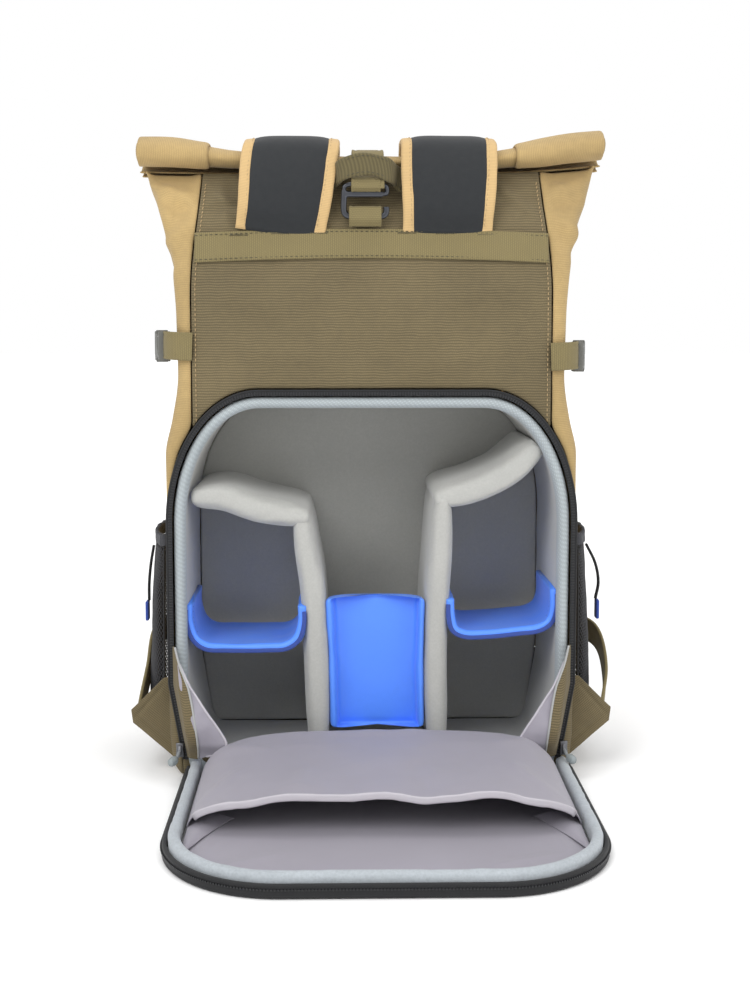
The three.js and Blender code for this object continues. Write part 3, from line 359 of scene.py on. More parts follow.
# Each finish: the colour's name, roughness, sheen, its pattern and the pattern's sizes,
# how much darker the pattern's gaps are, its depth in millimetres, and how far the colour fades
FINISHES = {
    "olive_canvas": (
        "olive", 0.92, 0.06, "Weave", {"Rib": 0.0018, "Thread": 0.0012, "Uneven": 0.9}, 0.62, 0.1, 0.6
    ),
    "boot_canvas": (
        "olive", 0.92, 0.06, "Weave", {"Rib": 0.0015, "Thread": 0.0015, "Uneven": 0.8}, 0.5, 0.09, 0.5
    ),
    "tan_canvas": (
        "tan", 0.92, 0.08, "Weave", {"Rib": 0.0012, "Thread": 0.0012, "Uneven": 0.9}, 0.3, 0.06, 0.6
    ),
    "olive_webbing": ("webbing", 0.85, 0.06, "Weave", {"Rib": 0.0013, "Thread": 0.0018}, 0.4, 0.08, 0.24),
    "ribbed_canvas": ("handle", 0.9, 0.06, "Weave", {"Rib": 0.0026, "Thread": 0.0009}, 0.45, 0.12, 0.2),
    "tan_binding": ("binding_tan", 0.88, 0.08, "Weave", {"Rib": 0.0011, "Thread": 0.0008}, 0.28, 0.05, 0.2),
    "neoprene": ("neoprene", 0.8, 0.08, "Nap", {"Size": 1500.0}, 0.3, 0.03, 0.2),
    "rim_knit": ("rim", 0.95, 0.15, "Knit dots", {"Pitch": 0.0031}, 0.3, 0.08, 0.25),
    "velvet": ("velvet", 0.97, 0.25, "Nap", {"Size": 700.0}, 0.14, 0.04, 0.2),
    "binding_knit": ("flap_rim", 0.95, 0.2, "Nap", {"Size": 620.0}, 0.3, 0.1, 0.3),
    "flap_skin": ("skin", 0.9, 0.06, "Weave", {"Rib": 0.0013, "Thread": 0.0013}, 0.2, 0.06, 0.2),
    # The bound mauve edges: their own mauve, made lighter as a painted highlight along the rolled edge
    "mauve_hem": ("mauve_hem", 0.6, 0.15, "Weave", {"Rib": 0.0007, "Thread": 0.0007}, 0.1, 0.02, 0.12),
    "gathered_hem": ("hem", 0.75, 0.12, "Weave", {"Rib": 0.0011, "Thread": 0.003}, 0.3, 0.1, 0.2),
    "grey_cord": ("cord", 0.7, 0.1, "Weave", {"Rib": 0.0008, "Thread": 0.0008}, 0.3, 0.05, 0.1),
    "cord_end": ("cord_end", 0.5, 0.0, "Nap", {"Size": 900.0}, 0.1, 0.02, 0.1),
    "mauve_nylon": ("mauve", 0.6, 0.15, "Weave", {"Rib": 0.0006, "Thread": 0.0006}, 0.08, 0.012, 0.14),
    "blue_satin": ("blue", 0.42, 0.12, "Weave", {"Rib": 0.0006, "Thread": 0.0004}, 0.1, 0.012, 0.14),
    "blue_edge": ("blue_edge", 0.55, 0.1, "Weave", {"Rib": 0.0011, "Thread": 0.0008}, 0.25, 0.05, 0.2),
    "black_tape": ("tape", 0.75, 0.08, "Weave", {"Rib": 0.0008, "Thread": 0.0012}, 0.4, 0.05, 0.3),
    "net": ("net", 0.6, 0.08, "Nap", {"Size": 1400.0}, 0.3, 0.02, 0.3),
    "teeth": ("teeth", 0.35, 0.0, "Nap", {"Size": 900.0}, 0.15, 0.01, 0.2),
    "plastic": ("plastic", 0.42, 0.0, "Nap", {"Size": 1100.0}, 0.12, 0.012, 0.16),
    "gunmetal": ("gunmetal", 0.34, 0.0, "Nap", {"Size": 500.0}, 0.16, 0.01, 0.2),
    "zip_metal": ("zip_metal", 0.36, 0.0, "Nap", {"Size": 500.0}, 0.16, 0.01, 0.25),
    "thread_tan": ("thread_tan", 0.8, 0.1, "Nap", {"Size": 900.0}, 0.1, 0.02, 0.1),
    "thread_dark": ("thread_dark", 0.8, 0.1, "Nap", {"Size": 900.0}, 0.1, 0.02, 0.1),
    "thread_blue": ("blue_edge", 0.8, 0.1, "Nap", {"Size": 900.0}, 0.1, 0.02, 0.1),
    "thread_pale": ("thread_pale", 0.8, 0.1, "Nap", {"Size": 900.0}, 0.1, 0.02, 0.1),
}
METALS = {"gunmetal": 0.85, "zip_metal": 0.8}


def finish(name):
    """The named finish, made once."""
    title = "bag_" + name
    if title in bpy.data.materials:
        return bpy.data.materials[title]
    colour, rough, sheen, pattern, sizes, gap, depth, fade = FINISHES[name]
    tint = linear(getattr(bpy.context.scene.bag_colours, colour))
    material = bpy.data.materials.new(title)
    material.use_nodes = True
    tree = material.node_tree
    tree.nodes.clear()
    where = tree.nodes.new("ShaderNodeTexCoord").outputs
    cloth = pattern in ("Weave", "Knit dots")
    surface = use_group(tree, pattern, {"Place": where["UV" if cloth else "Object"], **sizes})
    faded = use_group(tree, "Fading", {"Place": where["Object"], "Depth": fade})
    darker = sum_of(tree, "MULTIPLY_ADD", surface["Gap"], -gap, 1.0 + gap * 0.4)
    shade = sum_of(tree, "MULTIPLY", darker, faded["Shade"])
    painted = place(
        tree,
        "ShaderNodeVectorMath",
        {0: tint, 1: place(tree, "ShaderNodeCombineXYZ", {0: shade, 1: shade, 2: shade}).outputs[0]},
        operation="MULTIPLY",
    )
    dull = sum_of(tree, "MULTIPLY_ADD", faded["Cloud"], 0.12, rough - 0.06)
    bump = place(
        tree,
        "ShaderNodeBump",
        {"Height": surface["Height"], "Distance": depth * MM, "Strength": 1.0},
    )
    shader = place(
        tree,
        "ShaderNodeBsdfPrincipled",
        {
            "Base Color": painted.outputs[0],
            "Roughness": dull,
            "Metallic": METALS.get(name, 0.0),
            "Sheen Weight": sheen,
            "Sheen Roughness": 0.5,
            "Normal": bump.outputs[0],
        },
    )
    output = tree.nodes.new("ShaderNodeOutputMaterial")
    tree.links.new(shader.outputs[0], output.inputs[0])
    return material


# Meshes

def to_row(points):
    """From millimetres in the bag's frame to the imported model's metres."""
    return (np.asarray(points, float) - (0, BAG_DEPTH / 2, 0)) * MM


def piece_name(name):
    """A piece that stands for a CAD node keeps its name, with a word added."""
    return name + "_piece" if name in bpy.data.objects else name


def new_object(name, points, faces, finish_name, loops=None, edges=()):
    mesh = bpy.data.meshes.new(name)
    mesh.from_pydata(to_row(points).tolist(), list(edges), faces)
    if loops is not None:
        layer = mesh.uv_layers.new(name="UVMap")
        layer.data.foreach_set("uv", np.asarray(loops, np.float32).ravel())
    mesh.shade_smooth()
    obj = bpy.data.objects.new(piece_name(name), mesh)
    bpy.context.scene.collection.objects.link(obj)
    mesh.materials.append(finish(finish_name))
    return obj


def arc_lengths(grid):
    """Each point's distance along its row from the row's middle, and down its column, in metres."""
    across = np.linalg.norm(np.diff(grid, axis=1), axis=2)
    down = np.linalg.norm(np.diff(grid, axis=0), axis=2)
    u = np.concatenate([np.zeros((len(grid), 1)), np.cumsum(across, 1)], 1)
    v = np.concatenate([np.zeros((1, grid.shape[1])), np.cumsum(down, 0)], 0)
    return (u - u[:, [u.shape[1] // 2]]) * MM, v * MM


def grid_object(name, grid, finish_name, around=False, capped=False, inside=None, uv=None):
    """A sheet through rows of points. A tube's rows close on themselves, and its ends may be capped.

    inside is a point behind the sheet, which its faces turn away from; a closed tube needs none.
    """
    rows, cols = grid.shape[:2]
    closed = np.concatenate([grid, grid[:, :1]], 1) if around else grid
    u, v = uv if uv is not None else arc_lengths(closed)
    if u.shape[1] < closed.shape[1]:
        u, v = np.concatenate([u, u[:, :1]], 1), np.concatenate([v, v[:, :1]], 1)
    faces, loops = [], []
    for i in range(rows - 1):
        for j in range(closed.shape[1] - 1):
            corners = [(i, j), (i, j + 1), (i + 1, j + 1), (i + 1, j)]
            faces.append([a * cols + b % cols for a, b in corners])
            loops.append([(u[c], v[c]) for c in corners])
    if capped:
        for ring, turn in ((0, -1), (rows - 1, 1)):
            corners = [(ring, j) for j in range(cols)][::turn]
            faces.append([a * cols + b for a, b in corners])
            loops.append([(u[c], v[c]) for c in corners])
    points = grid.reshape(-1, 3)
    signed = 0.0
    for face in faces[: (rows - 1) * (closed.shape[1] - 1)]:
        a, b, c = points[face[0]], points[face[1]], points[face[2]]
        normal = np.cross(b - a, c - a)
        middle = a - (inside if inside is not None else points.mean(0))
        signed += float(normal @ middle)
    if signed < 0:
        faces = [face[::-1] for face in faces]
        loops = [loop[::-1] for loop in loops]
    flat = [pair for loop in loops for pair in loop]
    return new_object(name, points, faces, finish_name, flat)


def thicken(obj, thick, offset=-1.0):
    """Gives a sheet its thickness, inwards from its face."""
    wall = obj.modifiers.new("Wall", "SOLIDIFY")
    wall.thickness = thick * MM
    wall.offset = offset
    return obj


def round_off(obj):
    soft = obj.modifiers.new("Round", "SUBSURF")
    soft.levels = soft.render_levels = 1
    return obj


def add_wall(obj, thick, offset=-1.0):
    """A wall with round edges."""
    return round_off(thicken(obj, thick, offset))


def settle(obj):
    """Turns an object with modifiers into a plain mesh."""
    seen = obj.evaluated_get(bpy.context.evaluated_depsgraph_get())
    mesh = bpy.data.meshes.new_from_object(seen)
    obj.modifiers.clear()
    obj.data = mesh
    return obj


def joined(name, parts):
    """Several objects of one finish as one plain mesh."""
    whole = bmesh.new()
    for part in parts:
        settle(part)
        whole.from_mesh(part.data)
    mesh = bpy.data.meshes.new(name)
    whole.to_mesh(mesh)
    whole.free()
    mesh.materials.append(parts[0].data.materials[0])
    for part in parts:
        bpy.data.objects.remove(part)
    obj = bpy.data.objects.new(piece_name(name), mesh)
    bpy.context.scene.collection.objects.link(obj)
    return obj


def rounded_section(wide, thick, radius, corner=4, between=2):
    """A flat rectangle with round corners, as points across and through, in order round it."""
    radius = min(radius, wide / 2 - 0.01, thick / 2 - 0.01)
    points = []
    for cx, cy, start in ((1, 1, 0), (-1, 1, 90), (-1, -1, 180), (1, -1, 270)):
        arc = [
            (
                cx * (wide / 2 - radius) + radius * math.cos(math.radians(a)),
                cy * (thick / 2 - radius) + radius * math.sin(math.radians(a)),
            )
            for a in np.linspace(start, start + 90, corner)
        ]
        points.append(np.array(arc))
    outline = []
    for k, arc in enumerate(points):
        outline.append(arc)
        after = points[(k + 1) % 4][0]
        steps = between if k % 2 == 0 else max(1, between // 4)
        shares = np.linspace(0, 1, steps + 2)[1:-1, None]
        outline.append(arc[-1] + (after - arc[-1]) * shares)
    return np.concatenate(outline)


def sweep(name, line, across, section, finish_name, capped=True):
    """A closed section along a line. across is the direction of its width, fixed or one for each point."""
    line = np.asarray(line, float)
    along = heading(line)
    wide = np.broadcast_to(np.asarray(across, float), line.shape).copy()
    wide -= (wide * along).sum(1)[:, None] * along
    wide /= np.linalg.norm(wide, axis=1)[:, None]
    through = np.cross(along, wide)
    rings = []
    for i, share in enumerate(np.linspace(0, 1, len(line))):
        flat = section(share) if callable(section) else section
        rings.append(line[i] + flat[:, :1] * wide[i] + flat[:, 1:2] * through[i])
    return grid_object(name, np.array(rings), finish_name, around=True, capped=capped)


def plate(name, outline, thick, spot, finish_name, bevel=0.7):
    """A flat outline with a thickness and eased edges. spot places a point of it in the bag's frame."""
    count = len(outline)
    points = [spot(a, b, 0) for a, b in outline] + [spot(a, b, thick) for a, b in outline]
    faces = [list(range(count))[::-1], list(range(count, 2 * count))]
    faces += [[k, (k + 1) % count, count + (k + 1) % count, count + k] for k in range(count)]
    obj = new_object(name, points, faces, finish_name)
    made = bmesh.new()
    made.from_mesh(obj.data)
    bmesh.ops.recalc_face_normals(made, faces=made.faces)
    made.to_mesh(obj.data)
    made.free()
    eased_edge = obj.modifiers.new("Eased", "BEVEL")
    eased_edge.width = bevel * MM
    eased_edge.segments = 2
    eased_edge.limit_method = "ANGLE"
    return obj


# What repeats along a line

def row_tree(kind):
    """A Geometry Nodes tree that sets stitches or teeth along every line of a mesh."""
    name = kind + " row"
    if name in bpy.data.node_groups:
        return bpy.data.node_groups[name]
    tree = bpy.data.node_groups.new(name, "GeometryNodeTree")
    for label, socket, way in (
        ("Line", "NodeSocketGeometry", "INPUT"),
        ("Spacing", "NodeSocketFloat", "INPUT"),
        ("Size", "NodeSocketVector", "INPUT"),
        ("Facing", "NodeSocketVector", "INPUT"),
        ("Finish", "NodeSocketMaterial", "INPUT"),
        ("Row", "NodeSocketGeometry", "OUTPUT"),
    ):
        tree.interface.new_socket(label, in_out=way, socket_type=socket)
    given = tree.nodes.new("NodeGroupInput").outputs
    curve = place(tree, "GeometryNodeMeshToCurve", {"Mesh": given["Line"]})
    turned = place(tree, "GeometryNodeSetCurveNormal", {"Curve": curve.outputs[0]}, mode="FREE")
    tree.links.new(given["Facing"], turned.inputs["Normal"])
    spots = place(tree, "GeometryNodeCurveToPoints", {"Curve": turned.outputs[0]}, mode="LENGTH")
    tree.links.new(given["Spacing"], spots.inputs["Length"])
    if kind == "Stitch":
        unit = place(tree, "GeometryNodeMeshIcoSphere", {"Radius": 0.5, "Subdivisions": 2})
    else:
        unit = place(tree, "GeometryNodeMeshCube", {"Size": (1.0, 1.0, 1.0)})
    sized = place(tree, "GeometryNodeTransform", {"Geometry": unit.outputs[0], "Scale": given["Size"]})
    copies = place(
        tree,
        "GeometryNodeInstanceOnPoints",
        {
            "Points": spots.outputs["Points"],
            "Instance": sized.outputs[0],
            "Rotation": spots.outputs["Rotation"],
        },
    )
    real = place(tree, "GeometryNodeRealizeInstances", {0: copies.outputs[0]})
    shaded = place(
        tree, "GeometryNodeSetShadeSmooth", {0: real.outputs[0], "Shade Smooth": kind == "Stitch"}
    )
    done = place(tree, "GeometryNodeSetMaterial", {0: shaded.outputs[0], "Material": given["Finish"]})
    tree.links.new(done.outputs[0], tree.nodes.new("NodeGroupOutput").inputs[0])
    return tree


def laid_row(name, lines, spacing, size, finish_name, kind="Stitch", facing=(0, -1, 0)):
    """Stitches or teeth along some lines. size is through the cloth, across and along the line."""
    points, edges = [], []
    for line in lines:
        start = len(points)
        points += list(np.asarray(line, float))
        edges += [(start + k, start + k + 1) for k in range(len(line) - 1)]
    obj = new_object(name, points, [], finish_name, edges=edges)
    tree = row_tree(kind)
    rows = obj.modifiers.new("Row", "NODES")
    rows.node_group = tree
    sockets = {s.name: s.identifier for s in tree.interface.items_tree if s.in_out == "INPUT"}
    rows[sockets["Spacing"]] = spacing * MM
    rows[sockets["Size"]] = [k * MM for k in size]
    rows[sockets["Facing"]] = [float(k) for k in facing]
    rows[sockets["Finish"]] = finish(finish_name)
    return settle(obj)


# Simulated padding

CLOTH_FRAMES = 20


def puffed(obj, voxel, pressure, cap):
    """Swells a closed mesh as stuffed cloth does. No point moves by more than the cap."""
    remesh = obj.modifiers.new("Even", "REMESH")
    remesh.mode = "VOXEL"
    remesh.voxel_size = voxel * MM
    material = obj.data.materials[0]
    settle(obj)
    obj.data.materials.clear()
    obj.data.materials.append(material)
    count = len(obj.data.vertices)
    before = np.empty(count * 3)
    obj.data.vertices.foreach_get("co", before)
    before = before.reshape(-1, 3)
    cloth = obj.modifiers.new("Cloth", "CLOTH").settings
    cloth.quality = 6
    cloth.mass = 0.15
    cloth.tension_stiffness = cloth.compression_stiffness = 12
    cloth.shear_stiffness = 6
    cloth.bending_stiffness = 0.4
    cloth.use_pressure = True
    cloth.uniform_pressure_force = pressure
    cloth.effector_weights.gravity = 0
    for step in range(1, CLOTH_FRAMES + 1):
        bpy.context.scene.frame_set(step)
    seen = obj.evaluated_get(bpy.context.evaluated_depsgraph_get())
    after = np.empty(count * 3)
    seen.data.vertices.foreach_get("co", after)
    move = after.reshape(-1, 3) - before
    far = np.linalg.norm(move, axis=1)[:, None]
    move *= np.minimum(1, cap * MM / np.maximum(far, 1e-9))
    obj.modifiers.clear()
    obj.data.vertices.foreach_set("co", (before + move).ravel())
    bpy.context.scene.frame_set(1)
    obj.data.shade_smooth()
    return obj


def fit(obj, slot, *nodes):
    """The piece rides on the bag, and stands for its CAD nodes."""
    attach(obj, "root")
    if nodes:
        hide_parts(*nodes)
    return obj


def grid_size(grid):
    """A sheet's mean width and length and its area, in metres, from the grid that it was made from."""
    across = np.linalg.norm(np.diff(grid, axis=1), axis=2).sum(1).mean() * MM
    down = np.linalg.norm(np.diff(grid, axis=0), axis=2).sum(0).mean() * MM
    a, b = grid[1:, 1:] - grid[:-1, :-1], grid[1:, :-1] - grid[:-1, 1:]
    area = float(np.linalg.norm(np.cross(a, b), axis=2).sum() / 2) * MM * MM
    grown = max(1.0, area / (across * down)) ** 0.5
    return across * grown, down * grown, area


def declare_sheet(obj, grid):
    wide, long, area = grid_size(grid)
    return obj


# Outlines that several pieces share

# An arch: half width, half width at its feet, base, height where the sides stand straight, top,
# and how far its corners reach across and down
OPENING = (ZIP_HIGH[0], 132, ZIP_LOW[2], 53, ZIP_HIGH[2], 64, 92)
LINER = (ZIP_HIGH[0], 132, LINER_BASE, 64.85, ZIP_HIGH[2], 64, 92)
FLAP = ((FLAP_HIGH[0] - FLAP_LOW[0]) / 2, 135, CLEAR, 10, -FLAP_LOW[1], 74, 86)


def arch_x(arch, z, inset=0.0):
    """Half an arch's width at a height."""
    half, foot, base, rise, top, across, up = arch
    z = np.asarray(z, float)
    side = mix(foot, half, np.clip((z - base) / rise, 0, 1)) - inset
    share = np.clip((z - (top - up)) / (up - inset), 0, 1)
    corner = half - across + (across - inset) * np.sqrt(1 - share**2)
    return np.where(z > top - up, corner, side)


def arch_top(arch, x, inset=0.0):
    """How high an arch reaches at a place across, above its straight sides."""
    half, _, _, _, top, across, up = arch
    share = np.clip((np.abs(x) - (half - across)) / (across - inset), 0, 1)
    return top - up + (up - inset) * np.sqrt(1 - share**2)


def arch_line(arch, inset, count, low=None):
    """An arch from its left foot, over the top, to its right foot, as x and z."""
    half, foot, base, rise, top, across, up = arch
    turn = np.linspace(0, math.pi / 2, 25)
    right = [(foot - inset, base if low is None else low), (half - inset, base + rise)]
    right += [
        (half - across + (across - inset) * math.cos(a), top - up + (up - inset) * math.sin(a))
        for a in turn
    ]
    right = np.array(right)
    left = right * (-1, 1)
    return spaced(np.concatenate([left, right[::-1]]), count)


def arch_loop(arch, inset, count, low, corner=6.0):
    """An arch closed along its foot, with small round corners there."""
    open_line = arch_line(arch, inset, 240, low)
    turn = np.linspace(0, math.pi / 2, 7)[1:-1]
    x = open_line[-1][0]
    foot = [(x - corner + corner * math.cos(a), low + corner - corner * math.sin(a)) for a in turn]
    foot = np.array(foot)
    body = open_line[(open_line[:, 1] > low + corner)]
    ring = np.concatenate([body, foot, [(x - corner, low)], [(-x + corner, low)], foot[::-1] * (-1, 1)])
    return spaced(np.concatenate([ring, ring[:1]]), count + 1)[:-1]


def side_section(z):
    """The side of the body at a height, from the back seam round to the front seam, as x and y."""
    half, back, front = body_at(z)
    seams = float(back_seam(z)), float(front_seam(z))
    room = half - max(seams)
    tight = min(CORNER_BACK, room, (front - back) * 0.45)
    wide = min(CORNER_FRONT, half - seams[1], (front - back) * 0.5)
    a = np.linspace(-math.pi / 2, 0, 9)
    b = np.linspace(0, math.pi / 2, 13)
    line = [(seams[0], back)]
    line += [(half - tight + tight * math.cos(k), back + tight + tight * math.sin(k)) for k in a]
    line += [(half - wide + wide * math.cos(k), front - wide + wide * math.sin(k)) for k in b]
    line.append((seams[1], front))
    return np.array(line)


def side_row(z, count):
    """The same line in even steps, and cut back to leave room for the zip where that passes."""
    line = spaced(side_section(z), 400)
    start = 0.1
    if z < ZIP_HIGH[2]:
        edge = float(arch_x(OPENING, max(z, ZIP_LOW[2]))) + CLEAR
        over = np.flatnonzero(line[:, 0] >= edge)
        if edge > back_seam(z) and len(over):
            line = line[over[0] :]
            start = 0.0
    far = travelled(line)
    at = np.linspace(start, far[-1] - 0.1, count)
    return np.stack([np.interp(at, far, line[:, k]) for k in (0, 1)], 1)


def outward(grid, middle):
    """A unit direction for each point of a grid, away from a middle."""
    across = np.gradient(grid, axis=1)
    down = np.gradient(grid, axis=0)
    normal = np.cross(across, down)
    normal /= np.maximum(np.linalg.norm(normal, axis=2), 1e-9)[..., None]
    away = (normal * (grid - middle)).sum(2).mean()
    return normal if away > 0 else -normal


# Shell

# Folds of each side panel, by the distance from the back seam and the height
SIDE_FOLDS = {
    "left": [
        ((-2, 397), (46, 415), 2.4, 4.2),
        ((-2, 390), (46, 406), 3.4, -3.4),
        ((2, 382), (30, 366), 3.2, 2.4),
        ((0, 366), (40, 344), 4.5, -1.6),
        ((48, 330), (110, 322), 7, 2.0),
        ((46, 262), (110, 292), 7, -1.6),
        ((46, 236), (110, 210), 9, 2.0),
        ((30, 190), (120, 176), 11, -2.2),
        ((12, 398), (26, 350), 5, -1.5),
        ((70, 384), (60, 300), 8, 2.0),
        ((20, 120), (128, 150), 12, 2.0),
        ((10, 96), (110, 84), 9, -1.6),
    ],
    "right": [
        ((-2, 402), (46, 417), 2.4, 3.8),
        ((-2, 394), (46, 408), 3.4, -3.2),
        ((4, 388), (40, 366), 3.4, 2.4),
        ((0, 378), (40, 350), 4.2, -1.6),
        ((50, 342), (110, 330), 7, 2.0),
        ((50, 276), (110, 298), 7, -1.6),
        ((46, 240), (110, 222), 8, 1.8),
        ((24, 196), (116, 168), 11, -2.2),
        ((26, 404), (34, 346), 6, -1.6),
        ((74, 388), (66, 310), 8, 2.0),
        ((16, 132), (124, 146), 12, 2.0),
        ((12, 90), (112, 98), 9, -1.6),
    ],
}
BACK_FOLDS = [
    ((-112, 408), (-80, 384), 3.4, 2.4),
    ((-118, 392), (-70, 398), 3.0, -1.8),
    ((-104, 414), (-98, 380), 4, 1.6),
    ((84, 412), (114, 388), 3.4, 2.0),
    ((86, 398), (118, 404), 3.0, -1.6),
    ((-110, 340), (-60, 322), 7, 1.4),
    ((40, 330), (112, 346), 7, 1.4),
    ((-40, 342), (36, 338), 6, -1.0),
    ((-100, 300), (-30, 292), 8, 1.2),
    ((24, 288), (106, 300), 8, 1.1),
]
FRONT_FOLDS = [
    ((-80, 388), (-20, 352), 6, 2.4),
    ((84, 380), (10, 340), 6, -2.2),
    ((-96, 300), (90, 288), 9, 2.2),
    ((-90, 230), (40, 246), 10, -2.0),
    ((-30, 190), (96, 176), 11, 2.2),
    ((-96, 120), (60, 132), 12, -1.8),
    ((-20, 404), (6, 366), 5, 2.0),
]


def tucked(share, reach=0.035):
    """From 0 on the cloth to 1 at a seam, where it turns in."""
    return 1 - smooth(1 - np.abs(share), 0, reach)


def make_back_panel():
    form = bpy.context.scene.bag_form
    share = np.linspace(-1, 1, 121)
    shares, ups = np.meshgrid(share, np.linspace(0, 1, 70))
    low = arch_top(OPENING, share * (SEAM_BACK - CLEAR)) + 0.4
    z = mix(low[None, :], PANEL_TOP, ups)
    x = shares * (back_seam(z) - 0.1)
    y = body_at(z)[1]
    place_of = np.stack([x, z, np.zeros_like(x)], -1)
    y = y - form.fold_depth / MM * 0.5 * crease(x, z, BACK_FOLDS)
    y = y - 0.7 * ripple(place_of, 34) - 0.25 * ripple(place_of, 11, 4)
    y = y + 0.9 * tucked(shares, 0.02)
    z = z + lift_at(x, z)
    grid = np.stack([x, y, z], -1)
    obj = grid_object("back_panel", grid, "olive_canvas", inside=(0, 75, 330), uv=(x * MM, z * MM))
    add_wall(obj, form.cloth_thick / MM)
    declare_sheet(obj, grid)
    fit(obj, "olive_canvas", "back_panel")


def make_side_panel(side):
    form = bpy.context.scene.bag_form
    sign = SIDES[side]
    heights = np.linspace(BOOT_HEIGHT + CLEAR, PANEL_TOP, 88)
    rows = [side_row(z, 58) for z in heights]
    grid = np.array([[(x, y, z) for x, y in row] for row, z in zip(rows, heights)])
    far = arc_lengths(grid)[0] / MM
    far = far - far[:, :1]
    push = form.fold_depth / MM * 0.42 * crease(far, grid[..., 2], SIDE_FOLDS[side])
    push = push + 0.6 * ripple(grid, 60, 3 + sign) + 0.2 * ripple(grid, 14, 8)
    edge = np.minimum(smooth(far, 0, 9), smooth(far[:, -1:] - far, 0, 9))
    low = smooth(grid[..., 2], BOOT_HEIGHT, BOOT_HEIGHT + 12)
    top = smooth(grid[..., 2], NECK - 13, NECK - 3)
    push = push * edge * low * (1 - top) - 2.4 * edge * top
    push = push - 0.8 * (1 - smooth(far, 0, 2.5)) - 0.8 * (1 - smooth(far[:, -1:] - far, 0, 2.5))
    grid = grid + push[..., None] * outward(grid, (60, 75, 240))
    grid[..., 2] += lift_at(sign * grid[..., 0], grid[..., 2])
    grid[..., 0] *= sign
    name = "side_panel_" + side
    obj = grid_object(name, grid, "tan_canvas", inside=(sign * 60, 75, 240))
    add_wall(obj, form.cloth_thick / MM)
    declare_sheet(obj, grid)
    fit(obj, "tan_canvas", name)


def make_front_panel():
    form = bpy.context.scene.bag_form
    share = np.linspace(-1, 1, 61)
    shares, z = np.meshgrid(share, np.linspace(BOOT_HEIGHT + CLEAR, PANEL_TOP, 70))
    x = shares * (front_seam(z) - 0.1)
    place_of = np.stack([x, z, np.zeros_like(x)], -1)
    y = front_at(x, z) - 1.2 * tucked(shares)
    y = y + form.fold_depth / MM * 0.5 * crease(x, z, FRONT_FOLDS) * smooth(
        z, BOOT_HEIGHT, BOOT_HEIGHT + 20
    )
    y = y + 1.0 * ripple(place_of, 42) + 0.3 * ripple(place_of, 12, 4)
    z = z + lift_at(x, z)
    grid = np.stack([x, y, z], -1)
    obj = grid_object("front_panel", grid, "tan_canvas", inside=(0, 75, 240), uv=(x * MM, z * MM))
    add_wall(obj, form.cloth_thick / MM)
    declare_sheet(obj, grid)
    fit(obj, "tan_canvas", "front_panel")


def make_boot():
    form = bpy.context.scene.bag_form
    rows = []
    for z in np.linspace(0.2, BOOT_HEIGHT, 26):
        right = side_row(max(z, 0.2), 48)
        xs = np.linspace(right[-1][0], -right[-1][0], 48)[1:-1]
        front = np.stack([xs, front_at(xs, np.full_like(xs, z))], 1)
        left = right[::-1] * (-1, 1)
        rows.append([(x, y, z) for x, y in np.concatenate([right, front, left])])
    grid = np.array(rows)
    near = smooth(grid[..., 2], 0, 14) * (1 - 0.6 * smooth(grid[..., 2], 44, BOOT_HEIGHT))
    push = near * (0.9 * ripple(grid, 36, 5) + 0.3 * ripple(grid, 12, 2))
    grid = grid + push[..., None] * outward(grid, (0, 75, 40))
    wall = grid_object("boot_wall", grid, "boot_canvas", inside=(0, 75, 40))
    add_wall(wall, form.cloth_thick / MM)
    xs, zs = np.meshgrid(np.linspace(-132.3, 132.3, 80), np.linspace(0.2, ZIP_LOW[2] - 0.3, 6))
    strip = np.stack([xs, body_at(zs)[1] - 0.2 * ripple(np.stack([xs, zs, zs], -1), 20), zs], -1)
    back = grid_object("boot_back", strip, "boot_canvas", inside=(0, 75, 8), uv=(xs * MM, zs * MM))
    add_wall(back, form.cloth_thick / MM)
    ring = np.concatenate([grid[0], strip[0][::-1][1:-1] * (-1, 1, 1)])[:, :2]
    middle = np.array((0, 76.0))
    floor_rows = [
        np.column_stack([mix(middle, ring, s), np.full(len(ring), 0.3)]) for s in (
            1, 0.97, 0.8, 0.5, 0.2, 0.02
        )
    ]
    floor_grid = np.array(floor_rows)
    plan = floor_grid[..., 0] * MM, floor_grid[..., 1] * MM
    floor = grid_object("boot_floor", floor_grid, "boot_canvas", around=True, inside=(0, 75, 30), uv=plan)
    add_wall(floor, form.cloth_thick / MM)
    obj = joined("base_boot", [wall, back, floor])
    wide, long, area = grid_size(grid)
    plate_area = grid_size(floor_grid)[2] + grid_size(strip)[2]
    fit(obj, "olive_canvas", "base_boot")


# Roll

ROLL_ACROSS = 44
ROLL_TALL = 14
ROLL_GROWTH = 11
ROLL_HEART = 3.2
ROLL_TURNS = 1.5
ROLL_Y = (body_at(NECK)[1] + body_at(NECK)[2]) / 2


def roll_at(x):
    """The roll's middle height, half its depth and half its height at a place across."""
    growth = ROLL_GROWTH * smooth(np.abs(x), ROLL_HIGH[0] * 0.33, ROLL_HIGH[0] * 0.93)
    tall = (ROLL_TALL + growth) / 2
    return NECK + lift_at(x, NECK) + CLEAR + tall, (ROLL_ACROSS + 0.4 * growth) / 2, tall


def roll_ring(x, turned, more=0.0):
    """Points of the wound cloth: how many turns in, at one place across."""
    middle, deep, tall = roll_at(x)
    less = (tall - ROLL_HEART) / ROLL_TURNS * turned - more
    a = 2 * math.pi * turned - math.pi / 2
    return np.stack(
        [np.full_like(turned, x), ROLL_Y + (deep - less) * np.cos(a), middle + (tall - less) * np.sin(a)],
        -1,
    )


